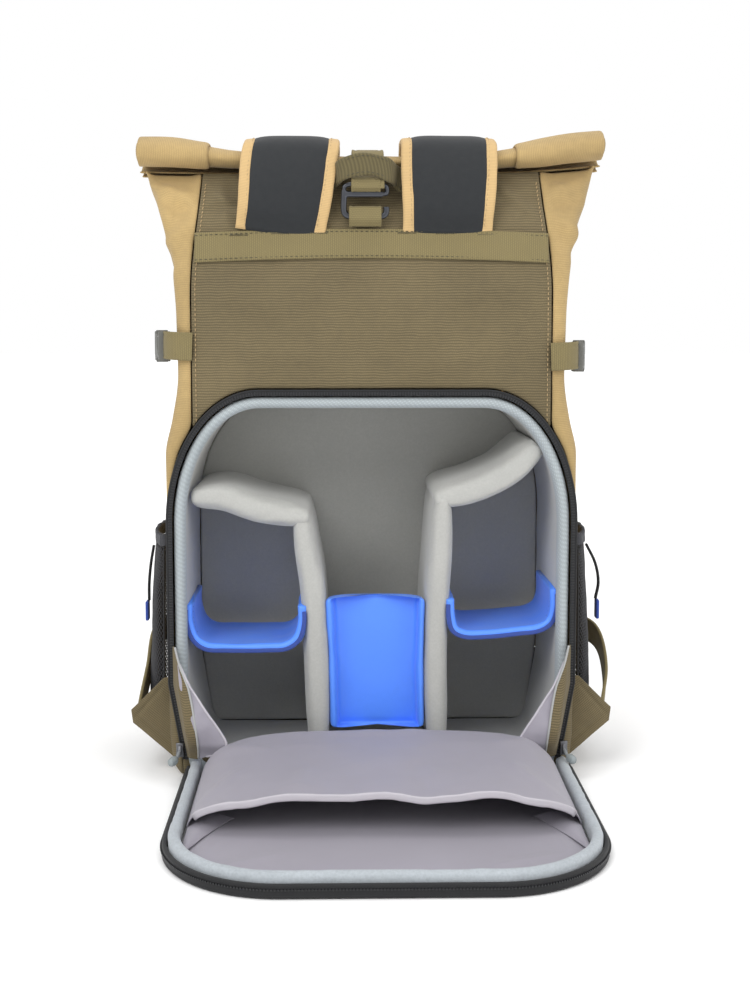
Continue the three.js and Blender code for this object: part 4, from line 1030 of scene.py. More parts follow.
def make_roll():
    turned = np.linspace(0, ROLL_TURNS, 86)
    places = np.linspace(ROLL_LOW[0], ROLL_HIGH[0], 99)
    grid = np.array([roll_ring(x, turned) for x in places])
    slack = np.minimum(smooth(turned, 0.05, 0.3), 1 - smooth(turned, 0.8, 1.0))
    wrinkle = 0.9 * ripple(grid * (0.6, 1, 1), 22) + 0.4 * ripple(grid * (1, 0.5, 0.5), 9, 6)
    mid = np.array([(x, ROLL_Y, roll_at(x)[0]) for x in places])[:, None, :]
    away = grid - mid
    away /= np.linalg.norm(away, axis=2)[..., None]
    grid = grid + (wrinkle * slack[None, :])[..., None] * away
    cloth = grid_object("roll_cloth", grid, "tan_canvas")
    add_wall(cloth, 1.5)
    parts = [cloth]
    wide, long, _ = grid_size(grid)
    for sign, inner in ((-1, 113), (1, 101)):
        edge = ROLL_HIGH[0] - 1.0
        over = np.linspace(0.04, 0.93, 70)
        reach = np.concatenate([[inner - 1.6, inner - 1.2, inner], np.linspace(inner + 3, edge, 22)])
        lift = np.concatenate([[0.3, 1.6, 2.6], 2.6 + 0.3 * np.sin(np.linspace(0, 3, 22))])
        rows = [roll_ring(sign * x, over, more + 0.6) for x, more in zip(reach, lift)]
        cuff = np.array(rows)
        cuff += (0.5 * ripple(cuff, 17, 11))[..., None] * (0, 0.4, 1)
        parts.append(
            add_wall(grid_object("roll_cuff", cuff, "tan_canvas", inside=(sign * 130, ROLL_Y, 425)), 1.3)
        )
    obj = joined("roll_top", parts)
    fit(obj, "tan_canvas", "roll_top")


# Compartment

def liner_rows(stations, count=260, base=None):
    """The liner's arch at each (inset, depth)."""
    rows = []
    for inset, y in stations:
        low = LINER_BASE + inset - LINER_INSET if base is None else base
        rows.append([(x, y, z) for x, z in arch_loop(LINER, inset, count, low)])
    return np.array(rows)


def make_liner():
    start = LINER_INSET + 0.2
    rim = liner_rows(
        [
            (start, 16), (start, 2), (LINER_INSET + 0.5, -0.6), (7.4, -1.9),
            (10.2, -1.6), (12.4, 0.6), (13.2, 4.5), (13.1, 9),
        ]
    )
    rim += (0.35 * ripple(rim, 14, 2))[..., None] * (0, 1, 0)
    rim[..., 1] = np.maximum(rim[..., 1], -2.4)
    edge = add_wall(grid_object("liner_rim", rim, "rim_knit", around=True, inside=(0, 60, 600.0)), 1.0)
    depths = np.concatenate([np.linspace(8.5, 60, 16), np.linspace(66, BAY_DEPTH - 8.2, 12)])
    wall = liner_rows([(INNER_INSET + 0.1, y) for y in depths], 200, LINER_FLOOR + 0.1)
    soft = 0.9 * ripple(wall, 38, 1) + 0.3 * ripple(wall, 12, 9)
    middle = np.array((0, 60, 130.0))
    away = (wall - middle) * (1, 0, 1)
    away /= np.linalg.norm(away, axis=2)[..., None]
    wall = wall + (soft * smooth(wall[..., 1], 8, 24))[..., None] * away * 0.6
    inner = grid_object("liner_wall", wall, "velvet", around=True, inside=(0, 60, 130.0))
    inner.data.flip_normals()
    add_wall(inner, 1.0)
    zs = np.linspace(LINER_FLOOR, ZIP_HIGH[2] - INNER_INSET, 44)
    shares, z = np.meshgrid(np.linspace(-1, 1, 52), zs)
    x = shares * arch_x(LINER, z, INNER_INSET)
    y = np.full_like(x, BAY_DEPTH - 8) - 0.8 * ripple(np.stack([x, z, z], -1), 40)
    back = np.stack([x, y, z], -1)
    far = grid_object("liner_back", back, "velvet", inside=(0, 200, 130.0), uv=(x * MM, z * MM))
    add_wall(far, 1.0)
    shell = liner_rows(
        [(LINER_INSET, 6), (LINER_INSET, 60), (LINER_INSET, BAY_DEPTH - 2), (LINER_INSET + 2, BAY_DEPTH)]
    )
    hull = add_wall(grid_object("liner_outer", shell, "velvet", around=True, inside=middle), 1.0)
    obj = joined("liner_body", [inner, far, hull])
    obj.name = "compartment_liner_foam"
    declare_parts([wall, back, shell])
    fit(obj, "grey_lining", "compartment_liner")
    declare_parts([rim])
    fit(edge, "grey_lining")


def declare_parts(grids):
    """Works out the size of each cloth of a piece sewn from several; the sizes are not kept."""
    sizes = [grid_size(grid) for grid in grids]


def make_opening_zip():
    """Two tapes and a row of teeth that follow the opening, with a corded edge outside."""
    front, depth = ZIP_LOW[1], ZIP_HIGH[1]
    pieces = []
    line = arch_line(OPENING, ZIP_WIDTH / 2, 260)
    path = [(x, front + 2.0, z) for x, z in line]
    across = zip_outward(line)
    body = sweep("zip_body", path, across, rounded_section(ZIP_WIDTH - 0.3, 3.4, 1.2), "black_tape")
    pieces.append(body)
    rim = arch_line(OPENING, 0.9, 260)
    cord = sweep(
        "zip_cord",
        [(x, front + 0.9, z) for x, z in rim],
        zip_outward(rim),
        rounded_section(1.7, 1.7, 0.8),
        "black_tape",
    )
    pieces.append(cord)
    deep = sweep(
        "zip_wall",
        [(x, (front + 3 + depth) / 2, z) for x, z in line],
        across,
        rounded_section(1.6, depth - front - 4, 0.7),
        "black_tape",
    )
    pieces.append(deep)
    obj = joined("opening_zip", pieces)
    fit(obj, "black_tape", "opening_zip")
    form = bpy.context.scene.bag_form
    row = arch_line(OPENING, 3.0, 400)
    teeth = laid_row(
        "opening_zip_teeth",
        [[(x, front + 0.35, z) for x, z in row]],
        form.tooth_pitch / MM,
        (0.7, 2.4, 0.9),
        "teeth",
        "Tooth",
    )
    fit(teeth, "zip_metal")


def zip_outward(line):
    """Directions out of an arch, level with the panel."""
    along = heading(line)
    return np.stack([-along[:, 1], np.zeros(len(line)), along[:, 0]], 1)


# Dividers

# Each divider's line by its share of half the bay and of the opening's height, and its thickness
DIVIDERS = {
    "upright_left": ([(-0.378, 0.682), (-0.354, 0.58), (-0.325, 0.49), (-0.303, 0.3), (-0.29, 0.045)], 15),
    "upright_right": ([(0.384, 0.728), (0.376, 0.6), (0.362, 0.48), (0.35, 0.28), (0.36, 0.045)], 15),
    "shelf_left": ([(-0.985, 0.72), (-0.82, 0.722), (-0.6, 0.69), (-0.326, 0.668)], 16),
    "shelf_right": ([(0.325, 0.716), (0.56, 0.745), (0.75, 0.79), (0.905, 0.858)], 17),
}


def make_divider(name):
    form = bpy.context.scene.bag_form
    shares, thick = DIVIDERS[name]
    line = curved([(x * BAY_SPAN, 0, z * ZIP_HIGH[2]) for x, z in shares], 60)
    line[:, 1] = (6 + BAY_DEPTH - 8.35) / 2
    deep = BAY_DEPTH - 8.35 - 6
    around = rounded_section(deep, thick, 5.6, 6, 14)

    def section(share):
        thin = 1 - 0.3 * abs(2 * share - 1) ** 4
        crown = 1 + 0.05 * math.sin(math.pi * share)
        return around * (1, thin * crown)

    obj = sweep("divider_" + name, line, (0, 1, 0), section, "velvet")
    obj = puffed(obj, 4, form.puff, 1.2)
    round_off(obj)
    fit(obj, "grey_lining", "divider_" + name)


# Blue pads

PAD_THICK = 5.5


def upright_face(side, up):
    """Where an upright divider's outer face is at a share of the opening's height."""
    shares = DIVIDERS["upright_" + side][0]
    xs = sorted((z, x) for x, z in shares)
    at = np.interp(up, [z for z, x in xs], [x for z, x in xs]) * BAY_SPAN
    return at + SIDES[side] * 7.5


def padded_board(name, line, front, back):
    """A thin padded board that follows a line across the bay, with its front edge rolled."""
    path = spaced(curved([(x, 0, z) for x, z in line], 70), 70)
    middle = (front + back) / 2
    path[:, 1] = middle
    section = rounded_section(back - front, PAD_THICK, 2.5, 5, 18)
    edge = smooth(-section[:, 0], (back - front) / 2 - 9, (back - front) / 2 - 5.5)
    seam = np.exp(-(((section[:, 0] + (back - front) / 2 - 8.5) / 1.4) ** 2))
    section[:, 1] *= 1 + 0.12 * edge - 0.3 * seam
    obj = sweep(name, path, (0, 1, 0), section, "blue_satin")
    return ripple_points(obj, 0.55, 16)


def ripple_points(obj, height, size, seed=0.0):
    """Moves each point of a mesh a little along its own normal."""
    mesh = obj.data
    count = len(mesh.vertices)
    points = np.empty(count * 3)
    mesh.vertices.foreach_get("co", points)
    normals = np.empty(count * 3)
    mesh.vertex_normals.foreach_get("vector", normals)
    points, normals = points.reshape(-1, 3), normals.reshape(-1, 3)
    points += normals * (height * MM * ripple(points / MM, size, seed))[:, None]
    mesh.vertices.foreach_set("co", points.ravel())
    mesh.update()
    return obj


def pad_lines():
    wall = BAY_SPAN - 0.7
    left = upright_face("left", 0.36) - 0.7
    right = upright_face("right", 0.38) + 0.7
    return {
        "left": [
            (-wall, 121), (-wall + 0.4, 108), (-wall + 4.5, 96.5), (-wall + 12, 91), (-wall + 26, 90),
            (left - 26, 90), (left - 12, 91), (left - 4.2, 96.5), (left - 0.8, 107), (left - 0.6, 119.6),
        ],
        "right": [
            (right + 0.8, 124), (right + 1.2, 112), (right + 4, 102.5), (right + 11, 99), (right + 28, 99),
            (wall - 26, 101), (wall - 11, 103), (wall - 3.6, 107.5), (wall - 0.4, 116), (wall, 131),
        ],
    }


def make_pad(side):
    line = pad_lines()[side]
    name = "pad_" + side
    obj = padded_board(name, line, 8, 92)
    fit(obj, "blue_nylon", name)
    path = curved([(x, 0, z) for x, z in line], 200)
    below = path[6:-6].copy()
    below[:, 1] = 7.6
    along = heading(below)
    down = np.stack([along[:, 2], np.zeros(len(below)), -along[:, 0]], 1)
    edge = sweep(name + "_edge", below + down * 1.5, down, rounded_section(3.0, 1.3, 0.6), "blue_edge")
    fit(edge, "blue_nylon")


def make_centre_pad():
    low, high = 31.5, 125.5
    face = 23 + PAD_THICK / 2
    heights = np.linspace(low, high, 40)
    rows = []
    for z in heights:
        a = upright_face("left", z / ZIP_HIGH[2]) + 15 + 0.9 + PAD_THICK / 2
        b = upright_face("right", z / ZIP_HIGH[2]) - 15 - 0.9 - PAD_THICK / 2
        plan = curved(
            [
                (a, 9.5, z), (a + 0.2, 15, z), (a + 2.2, face - 3, z), (a + 7, face, z), (b - 7, face, z),
                (b - 2.2, face - 3, z), (b - 0.2, 15, z), (b, 9.5, z),
            ],
            60,
        )
        rows.append(plan)
    middle = np.array(rows)
    normal = outward(middle, (0, 60, 80))
    edge_up = np.minimum(
        smooth(middle[..., 2], low - 1, low + 5), 1 - smooth(middle[..., 2], high - 5, high + 1)
    )
    arc = arc_lengths(middle)[0] / MM
    arc = arc - arc[:, :1]
    side_in = np.minimum(smooth(arc, -1, 4), smooth(arc[:, -1:] - arc, -1, 4))
    half = PAD_THICK / 2 * (0.3 + 0.7 * np.minimum(edge_up, side_in)) + 0.5 * ripple(middle, 18, 3)
    front, back = middle + normal * half[..., None], middle - normal * half[..., None]
    ring = np.concatenate([front, back[:, ::-1]], 1)
    obj = grid_object("pad_centre", ring, "blue_satin", around=True, capped=True)
    round_off(obj)
    fit(obj, "blue_nylon", "pad_centre")


# Flap

FLOOR_INSET = 11.8
FLAP_RIM_TALL = 14


def on_flap(points, height):
    """From the flap's own outline, where z runs away from the hinge, to the bag's frame."""
    points = np.asarray(points, float)
    level = np.broadcast_to(height, points.shape[:-1])
    return np.stack([points[..., 0] + FLAP_SHIFT, -points[..., 1], level], -1)


def flap_half(out, inset):
    return arch_x(FLAP, out, inset)


def make_flap_panel():
    outs = np.linspace(CLEAR + 0.3, FLAP[4] - FLOOR_INSET - 0.3, 66)
    shares, out = np.meshgrid(np.linspace(-1, 1, 66), outs)
    x = shares * (flap_half(out, FLOOR_INSET) - 0.3)
    flat = np.stack([x, out], -1)
    edge = np.minimum(1 - np.abs(shares), (outs[-1] - out) / 120)
    uneven = 0.6 * ripple(np.stack([x, out, out], -1), 46)
    height = 5.2 + 1.0 * smooth(edge, 0, 0.12) + uneven * smooth(edge, 0, 0.1)
    height = height + 0.9 * crease(x, out, FLAP_FOLDS) * smooth(edge, 0, 0.06)
    grid = on_flap(flat, height)
    plan = grid[..., 0] * MM, grid[..., 1] * MM
    top = grid_object("flap_top", grid, "mauve_nylon", inside=(0, -110, -100), uv=plan)
    add_wall(top, 1.0)
    obj = settle(top)
    obj.name = "flap_floor"
    declare_sheet(obj, grid)
    fit(obj, "mauve_lining", "flap_panel")
    under = on_flap(np.stack([x, out], -1), np.full_like(x, 0.3))
    skin = grid_object("flap_underside", under, "flap_skin", inside=(0, -110, 100), uv=plan)
    thicken(skin, 3.6)
    declare_sheet(skin, under)
    fit(skin, "olive_canvas")


FLAP_FOLDS = [
    ((-100, 205), (-60, 178), 6, 1.2),
    ((-40, 214), (36, 208), 9, -0.9),
    ((60, 204), (104, 182), 6, 1.2),
    ((-112, 190), (-98, 150), 5, 1.1),
    ((112, 188), (100, 150), 5, 1.1),
]


def make_flap_rim():
    line = arch_line(FLAP, 3.95 + 3.6, 300)
    path = on_flap(line, 7.35)
    section = rounded_section(FLAP_RIM_TALL - 0.5, 7.1, 3.3, 6, 5)
    swell = 1 + 0.05 * ripple(path, 19)

    def shaped(share):
        return section * swell[int(round(share * 299))]

    obj = sweep("flap_rim", path, (0, 0, 1), shaped, "binding_knit")
    ripple_points(obj, 0.35, 7)
    round_off(obj)
    fit(obj, "grey_binding", "flap_rim")


def make_flap_zip():
    form = bpy.context.scene.bag_form
    line = arch_line(FLAP, 1.9, 300)
    path = on_flap(line, 4.6)
    tape = sweep("flap_zip", path, (0, 0, 1), rounded_section(8.0, 3.0, 1.2), "black_tape")
    rim = sweep(
        "flap_zip_cord",
        on_flap(arch_line(FLAP, 1.2, 300), 1.5),
        (0, 0, 1),
        rounded_section(2.2, 2.0, 0.9),
        "black_tape",
    )
    obj = joined("flap_zip", [tape, rim])
    fit(obj, "black_tape", "flap_zip")
    row = on_flap(arch_line(FLAP, 0.6, 420), 5.6)
    teeth = laid_row(
        "flap_zip_teeth", [row], form.tooth_pitch / MM, (1.0, 2.6, 0.9), "teeth", "Tooth", (0, 0, 1)
    )
    fit(teeth, "zip_metal")


# The stretched pocket on the flap

POCKET_REACH = 146
POCKET_TALL = 33
POCKET_HALF = FLAP[1] - FLOOR_INSET - CLEAR


def pocket_at(t, s):
    """A point of the pocket: t from the hinge to the mouth, s across."""
    rise = np.where(t > 0, np.sin(np.minimum(t / 0.16, 1) * math.pi / 2), 0)
    slope = 1 - 0.3 * np.maximum(0, t - 0.16)
    dome = (1 - np.abs(s) ** 5 * 0.999) ** 0.6
    tall = POCKET_TALL * slope * dome * rise
    reach = POCKET_REACH - 12 * np.abs(s) ** 8
    y = -mix(3.35, reach, t)
    return np.stack([POCKET_HALF * s + FLAP_SHIFT, y, 6.35 + tall], -1)


def make_pocket():
    share = np.linspace(-1, 1, 101)
    shares, ts = np.meshgrid(np.sign(share) * np.abs(share) ** 0.8, np.linspace(0.0, 1, 64))
    grid = pocket_at(ts, shares)
    slack = smooth(ts, 0.02, 0.16) * (1 - smooth(np.abs(shares), 0.93, 1))
    wave_line = 0.9 * np.sin(grid[..., 0] * 0.11 + 1) + 1.1 * ripple(grid * (1, 0, 0), 26, 3)
    near = smooth(ts, 0.72, 1)
    lift = 1.5 * ripple(grid, 44, 2) + 0.4 * ripple(grid, 13, 7)
    lift = lift + 1.6 * crease(grid[..., 0], grid[..., 1], POCKET_FOLDS)
    grid[..., 2] += slack * (lift + near * 1.1 * wave_line)
    grid[..., 1] += slack * near * 1.4 * ripple(grid * (1, 0, 0), 31, 12)
    cover = grid_object("pocket_cover", grid, "mauve_nylon", inside=(0, -75, -40))
    add_wall(cover, 0.9)
    mouth = grid[-1, 3:-3]
    hem_path = mouth + (0, -0.6, -1.5)
    # The hem takes the lighter mauve: its bound edge with a painted highlight along the roll
    hem = sweep("pocket_hem", hem_path, (0, 0.15, 1), rounded_section(4.6, 1.9, 0.85, 3, 2), "mauve_hem")
    ripple_points(hem, 0.3, 5)
    parts = [cover]
    areas = [grid]
    for sign in (-1, 1):
        parts.append(pleat(sign, areas))
    obj = joined("flap_pocket", parts)
    declare_parts(areas)
    fit(obj, "mauve_lining", "flap_pocket")
    fit(hem, "mauve_lining")


POCKET_FOLDS = [
    ((-116, -20), (-70, -60), 7, 1.0),
    ((116, -20), (76, -58), 7, 1.0),
    ((-112, -130), (-84, -84), 6, 1.1),
    ((112, -128), (86, -84), 6, 1.1),
    ((-50, -138), (-44, -96), 6, 0.8),
    ((30, -138), (26, -90), 7, -0.8),
    ((-20, -30), (40, -26), 8, 0.8),
]


def pleat(sign, areas):
    """The cloth folded under the pocket's corner, which lies on the floor panel as a triangle."""
    half = POCKET_HALF
    rows = []
    for t in np.linspace(0, 1, 16):
        y = mix(-118, -181, t)
        outer = half - 0.6 - 1.4 * t
        inner = mix(half - 30, half - 2.5, t**0.8)
        xs = np.linspace(outer, inner, 22)
        share = np.linspace(0, 1, 22)
        height = 7.0 + 3.6 * np.sin(math.pi * np.minimum(1, share * 1.05)) * (1 - t) ** 0.7 + 0.5
        slope = y + 4.0 * share * (1 - t)
        rows.append(np.stack([sign * xs + FLAP_SHIFT, slope, height], -1))
    grid = np.array(rows)
    grid[..., 2] += 0.4 * ripple(grid, 9, sign)
    areas.append(grid)
    return add_wall(grid_object("pocket_pleat", grid, "mauve_nylon", inside=(sign * 60, -140, -60)), 0.9)


# Gussets that join the flap to the opening

# Each row: height share, then how far the crease and the free edge stand in and out
GUSSET_TALL = 80
GUSSET_FRONT = 4.5 + CLEAR
GUSSET = np.array(
    [
        (0.02, 0.05, 0.25, 0.12, 0.3),
        (0.08, 0.08, 0.6, 0.3, 0.62),
        (0.2, 0.13, 0.92, 0.85, 1),
        (0.3, 0.15, 0.84, 1, 1),
        (0.45, 0.16, 0.65, 0.85, 0.9),
        (0.6, 0.15, 0.46, 0.6, 0.7),
        (0.77, 0.12, 0.25, 0.4, 0.5),
        (0.86, 0.1, 0.14, 0.3, 0.34),
        (1, 0.03, 0.04, 0.12, 0.14),
    ]
)


def gusset_plan(ups):
    """Seam, crease and free edge in plan, and the level, for each share of the gusset's height."""
    crease_in, free_in, crease_out, free_out = (
        eased(ups, GUSSET[:, 0], GUSSET[:, k]) for k in (1, 2, 3, 4)
    )
    z = ZIP_LOW[2] + ups * GUSSET_TALL
    edge = mix(OPENING[1], OPENING[0], np.clip((z - ZIP_LOW[2]) / OPENING[3], 0, 1)) - ZIP_WIDTH
    seam = np.stack([edge, np.full(len(ups), -GUSSET_FRONT)], 1)
    crease = np.stack([edge - 33 * crease_in, -(GUSSET_FRONT + 19 * crease_out)], 1)
    free = np.stack([edge - 33 * free_in, -(GUSSET_FRONT + 19 * free_out)], 1)
    return seam, crease, free, z


def make_gusset(side):
    sign = SIDES[side]
    name = "gusset_" + side
    rows = []
    for seam, crease, free, z in zip(*gusset_plan(np.linspace(0.02, 0.86, 60))):
        start = seam - (CLEAR, 0)
        turn = mix(crease, free, 0.12) - (0, 0.8)
        plan = curved([start, mix(start, crease, 0.8), crease, turn, mix(crease, free, 0.6), free], 40)
        rows.append([(sign * x, y, z) for x, y in plan])
    grid = np.array(rows)
    slack = smooth(np.linspace(0, 1, 40)[None, :], 0.4, 0.65)
    wrinkle = 1.9 * ripple(grid * (1, 1, 0.5), 13, 5 + sign) + 0.8 * ripple(grid, 6, 2)
    grid = grid + (slack * wrinkle)[..., None] * (0.2 * sign, -0.7, 0.4)
    cloth = grid_object(name, grid, "mauve_nylon")
    add_wall(cloth, 0.8, offset=0.0)
    declare_sheet(cloth, grid)
    fit(cloth, "mauve_lining", name)
    # The cord takes the same lighter mauve, a painted highlight on the bound edge
    cord = sweep(name + "_cord", grid[2:, -1], (0, 1, 0.2), rounded_section(1.6, 1.6, 0.75), "mauve_hem")
    fit(cord, "mauve_lining")
    make_gusset_strip(name, sign)


def make_gusset_strip(name, sign):
    """The shell's cloth over the gusset's seam, with a piping along its edge."""
    rows = []
    for seam, crease, free, z in zip(*gusset_plan(np.linspace(0.02, 1, 60))):
        start = seam + (0.4, -0.2)
        crease = crease - (0, 1.0)
        free = free - (0, 1.0)
        reach = float(np.linalg.norm(free - crease))
        edge = crease + (free - crease) / max(1e-6, reach) * min(6.4, reach * 0.8)
        plan = curved([start, mix(start, crease, 0.6), crease, edge], 14)
        rows.append([(sign * x, y, z) for x, y in plan])
    strip = np.array(rows)
    band = grid_object(name + "_strip", strip, "olive_canvas")
    add_wall(band, 1.0, offset=0.0)
    fit(band, "olive_canvas")
    line = strip[1:, -1] + (0, -0.5, 0)
    bead = sweep(name + "_piping", line, (0, 1, 0), rounded_section(1.5, 1.5, 0.7), "thread_pale")
    fit(bead, "grey_binding")


# Side pockets of net

POUCH_LOW, POUCH_TOP = 24, 160
POUCH_BACK, POUCH_FRONT = 20, 124
POUCH_BULGE = 18


def pouch_at(sign, t, v, out=0.0):
    z = mix(POUCH_LOW, POUCH_TOP, v)
    y = mix(POUCH_BACK, POUCH_FRONT, t)
    plan = np.sin(math.pi * np.clip(t, 0.0, 1.0)) ** 0.42
    belly = np.minimum(1, (v / 0.14) ** 0.5) * (1 - 0.36 * v**2.2)
    half = body_at(z)[0]
    corner = side_inset(y)
    x = half - corner + 0.9 + out + POUCH_BULGE * plan * belly
    return np.stack([sign * x, y, z], -1)


def side_inset(y):
    """How far the body's rounded corners fall back from its widest line."""
    back = np.clip(CORNER_BACK - y, 0, None)
    front = np.clip(y - (BAG_DEPTH - CORNER_FRONT), 0, CORNER_FRONT)
    return CORNER_BACK - np.sqrt(CORNER_BACK**2 - back**2) + CORNER_FRONT - np.sqrt(
        CORNER_FRONT**2 - front**2
    )


def make_net(name, sign):
    """A lattice of threads with real holes, on the pocket's slack outline."""
    form = bpy.context.scene.bag_form
    pitch = form.net_pitch / MM
    cols, rows = int(170 / pitch), int(140 / pitch)
    points, faces = [], []
    index = {}

    def point(a, b):
        key = (a, b)
        if key not in index:
            index[key] = len(points)
            t, v = np.clip(a / (2 * cols), 0.004, 0.996), np.clip(b / (2 * rows), 0.003, 1)
            points.append(pouch_at(sign, t, v))
        return index[key]

    for i in range(2 * cols):
        for j in range(2 * rows):
            if (i + j) % 2:
                continue
            corners = [(i, j), (i + 1, j - 1), (i + 2, j), (i + 1, j + 1)]
            if all(0 <= a <= 2 * cols and 0 <= b <= 2 * rows for a, b in corners):
                faces.append([point(a, b) for a, b in corners])
    points = np.array(points)
    wobble = 0.9 * ripple(points, 30, 4) + 0.3 * ripple(points, 9, 1)
    points[:, 0] += sign * np.maximum(-0.5, wobble)
    net = new_object(name, points, faces, "net")
    wires = net.modifiers.new("Net", "WIREFRAME")
    wires.thickness = form.net_thread
    wires.use_replace = True
    wires.use_even_offset = False
    settle(net)
    return net


def make_pocket_tape(name, sign):
    """The tapes that hold the net's two sides and its foot."""
    edges = []
    for t in (0.004, 0.996):
        line = pouch_at(sign, np.full(50, t), np.linspace(0.003, 1, 50), 0.6)
        edges.append(sweep("tape", line, (0, 1, 0.1), rounded_section(4.0, 1.3, 0.6), "black_tape"))
    low = pouch_at(sign, np.linspace(0.004, 0.996, 90), np.full(90, 0.012), 0.4)
    edges.append(sweep("tape", low, (0, 0, 1), rounded_section(5.0, 1.4, 0.6), "black_tape"))
    tape = joined(name + "_tape", edges)
    fit(tape, "black_tape")


def make_pocket_hem(side, sign):
    """The gathered hem round the mouth."""
    mouth = pouch_at(sign, np.linspace(0.0, 1.0, 140), np.full(140, 1.0))
    mouth[:, 2] = POUCH_TOP + 0.35 + 4.3
    bunch = 1 + 0.16 * np.sin(np.arange(140) * 1.9) + 0.12 * ripple(mouth, 5)
    hem_section = rounded_section(8.6, 2.6, 1.2, 4, 3)

    def gathered(share):
        return hem_section * bunch[int(round(share * 139))]

    hem = sweep("pocket_hem_" + side, mouth, (0, 0, 1), gathered, "gathered_hem")
    ripple_points(hem, 0.5, 4)
    round_off(hem)
    fit(hem, "black_mesh", "pocket_hem_" + side)


def make_side_pocket(side):
    sign = SIDES[side]
    name = "side_pocket_" + side
    net = make_net(name, sign)
    ts, vs = np.meshgrid(np.linspace(0.004, 0.996, 60), np.linspace(0.003, 1, 60))
    wide, tall, _ = grid_size(pouch_at(sign, ts, vs))
    fit(net, "black_mesh", name)
    make_pocket_tape(name, sign)
    make_pocket_hem(side, sign)
    make_pull(side, sign)


def make_pull(side, sign):
    bow = {"left": 1.5, "right": 7}[side]
    share = (50 - POUCH_BACK) / (POUCH_FRONT - POUCH_BACK)
    start = POUCH_TOP - 3
    line = []
    for down, out in ((0, 2.4), (14, 2.4 + bow * 0.8), (28, 2.4 + bow), (40, 2.4 + bow * 0.6)):
        z = start - down
        at = pouch_at(sign, share, (z - POUCH_LOW) / (POUCH_TOP - POUCH_LOW))
        line.append((at[0] + sign * out, 50, z))
    path = curved(line, 40)
    round_cord = rounded_section(2.0, 1.8, 0.85)
    cords = [
        sweep("pull", path + (0, off, 0), (0, 1, 0), round_cord, "black_tape")
        for off in (-1.3, 1.3)
    ]
    pull = joined("pocket_pull_" + side, cords)
    fit(pull, "black_tape", "pocket_pull_" + side)
    end = path[-1]

    def spot(a, b, c):
        return (end[0] + sign * (c - 1.1 + 1.2), 50 + a, end[2] - CLEAR - 14 + b)

    outline = rounded_outline(10, 14, 1.2, 0, 7)
    tab = plate("pull_tab_" + side, outline, 2.2, spot, "thread_blue", 0.7)
    fit(tab, "blue_nylon", "pull_tab_" + side)


def rounded_outline(wide, tall, radius, x=0.0, z=0.0, steps=5):
    """A rectangle with round corners, as points round a middle."""
    points = []
    for cx, cz, start in ((1, 1, 0), (-1, 1, 90), (-1, -1, 180), (1, -1, 270)):
        for a in np.radians(np.linspace(start, start + 90, steps)):
            points.append(
                (
                    x + cx * (wide / 2 - radius) + radius * math.cos(a),
                    z + cz * (tall / 2 - radius) + radius * math.sin(a),
                )
            )
    return points


# Wings at the bottom corners

def make_wing(side):
    sign = SIDES[side]
    half = BAG_WIDTH / 2
    edge = np.array([(-0.09, 1), (0.15, 0.985), (1, 0.66), (0.96, 0.53), (-0.09, 0.17)])
    upper = np.array([edge[0], edge[1], edge[2]])
    lower = np.array([edge[4], edge[3]])
    us = np.linspace(0, 1, 34)
    top = spaced(upper, 34)
    bottom = spaced(lower, 34)
    rows = []
    for t in np.linspace(0, 1, 40):
        line = mix(bottom, top, t)
        x = half + line[:, 0] * 27
        z = line[:, 1] * 70
        swell = np.sin(math.pi * t) * (1 - us**3)
        rows.append(np.stack([sign * x, 9.2 - swell, z], -1))
    grid = np.array(rows)
    seam = crease(
        sign * grid[..., 0],
        grid[..., 2],
        [((half - 3, 20), (half + 27, 46), 1.2, 1.0), ((half + 2, 66), (half + 25, 40), 1.3, 1.0)],
    )
    grid[..., 1] += 0.8 * seam + 0.7 * ripple(grid, 15, 2 + sign)
    name = "wing_" + side
    obj = grid_object(name, grid, "olive_canvas", inside=(sign * half, 60, 40))
    add_wall(obj, 2.4)
    declare_sheet(obj, grid)
    fit(obj, "olive_canvas", name)


# Band, straps and what they hold

BAND_HIGH = BAND_LOW + BAND_TALL


def flat_webbing(name, line, across, finish_name, wide, thick):
    """Woven webbing along a line, with its two thicker woven edges."""
    section = rounded_section(wide, thick, thick * 0.48, 4, 10)
    share = np.abs(section[:, 0]) / (wide / 2)
    selvage = 1 + 0.22 * smooth(share, 0.78, 0.86) - 0.35 * np.exp(-(((share - 0.76) / 0.04) ** 2))
    section = section * np.stack([np.ones(len(section)), selvage], 1)
    return sweep(name, line, across, section, finish_name)


def make_band():
    xs = np.linspace(-1, 1, 141) * (float(back_seam(BAND_LOW)) - 2)
    section = rounded_section(BAND_TALL, 2.2, 0.9, 4, 10)
    rows = []
    for x in xs:
        s = x / xs[-1]
        z = BAND_LOW + BAND_TALL / 2 + 3 * (1 - s * s)
        point = np.array((x, float(body_at(z)[1]) - 1.5 - 0.5 * float(ripple((x, 24, 72), 24)), z))
        lean = (body_at(z + 4)[1] - body_at(z - 4)[1]) / 8
        up = np.array((0, lean, 1)) / math.hypot(1, lean)
        out = np.array((0, -1, lean)) / math.hypot(1, lean)
        rows.append(point + section[:, :1] * up + section[:, 1:2] * out)
    obj = grid_object("back_band", np.array(rows), "olive_webbing", around=True, capped=True)
    fit(obj, "olive_webbing", "back_band")


def off_front(x, z, away):
    slope = float(front_at(x, z + 2) - front_at(x, z - 2)) / 4
    long = math.hypot(1, slope)
    return float(front_at(x, z)) + away / long, z - slope * away / long


def off_back(z, away):
    slope = float(body_at(z + 2)[1] - body_at(z - 2)[1]) / 4
    long = math.hypot(1, slope)
    return float(body_at(z)[1]) - away / long, z + slope * away / long


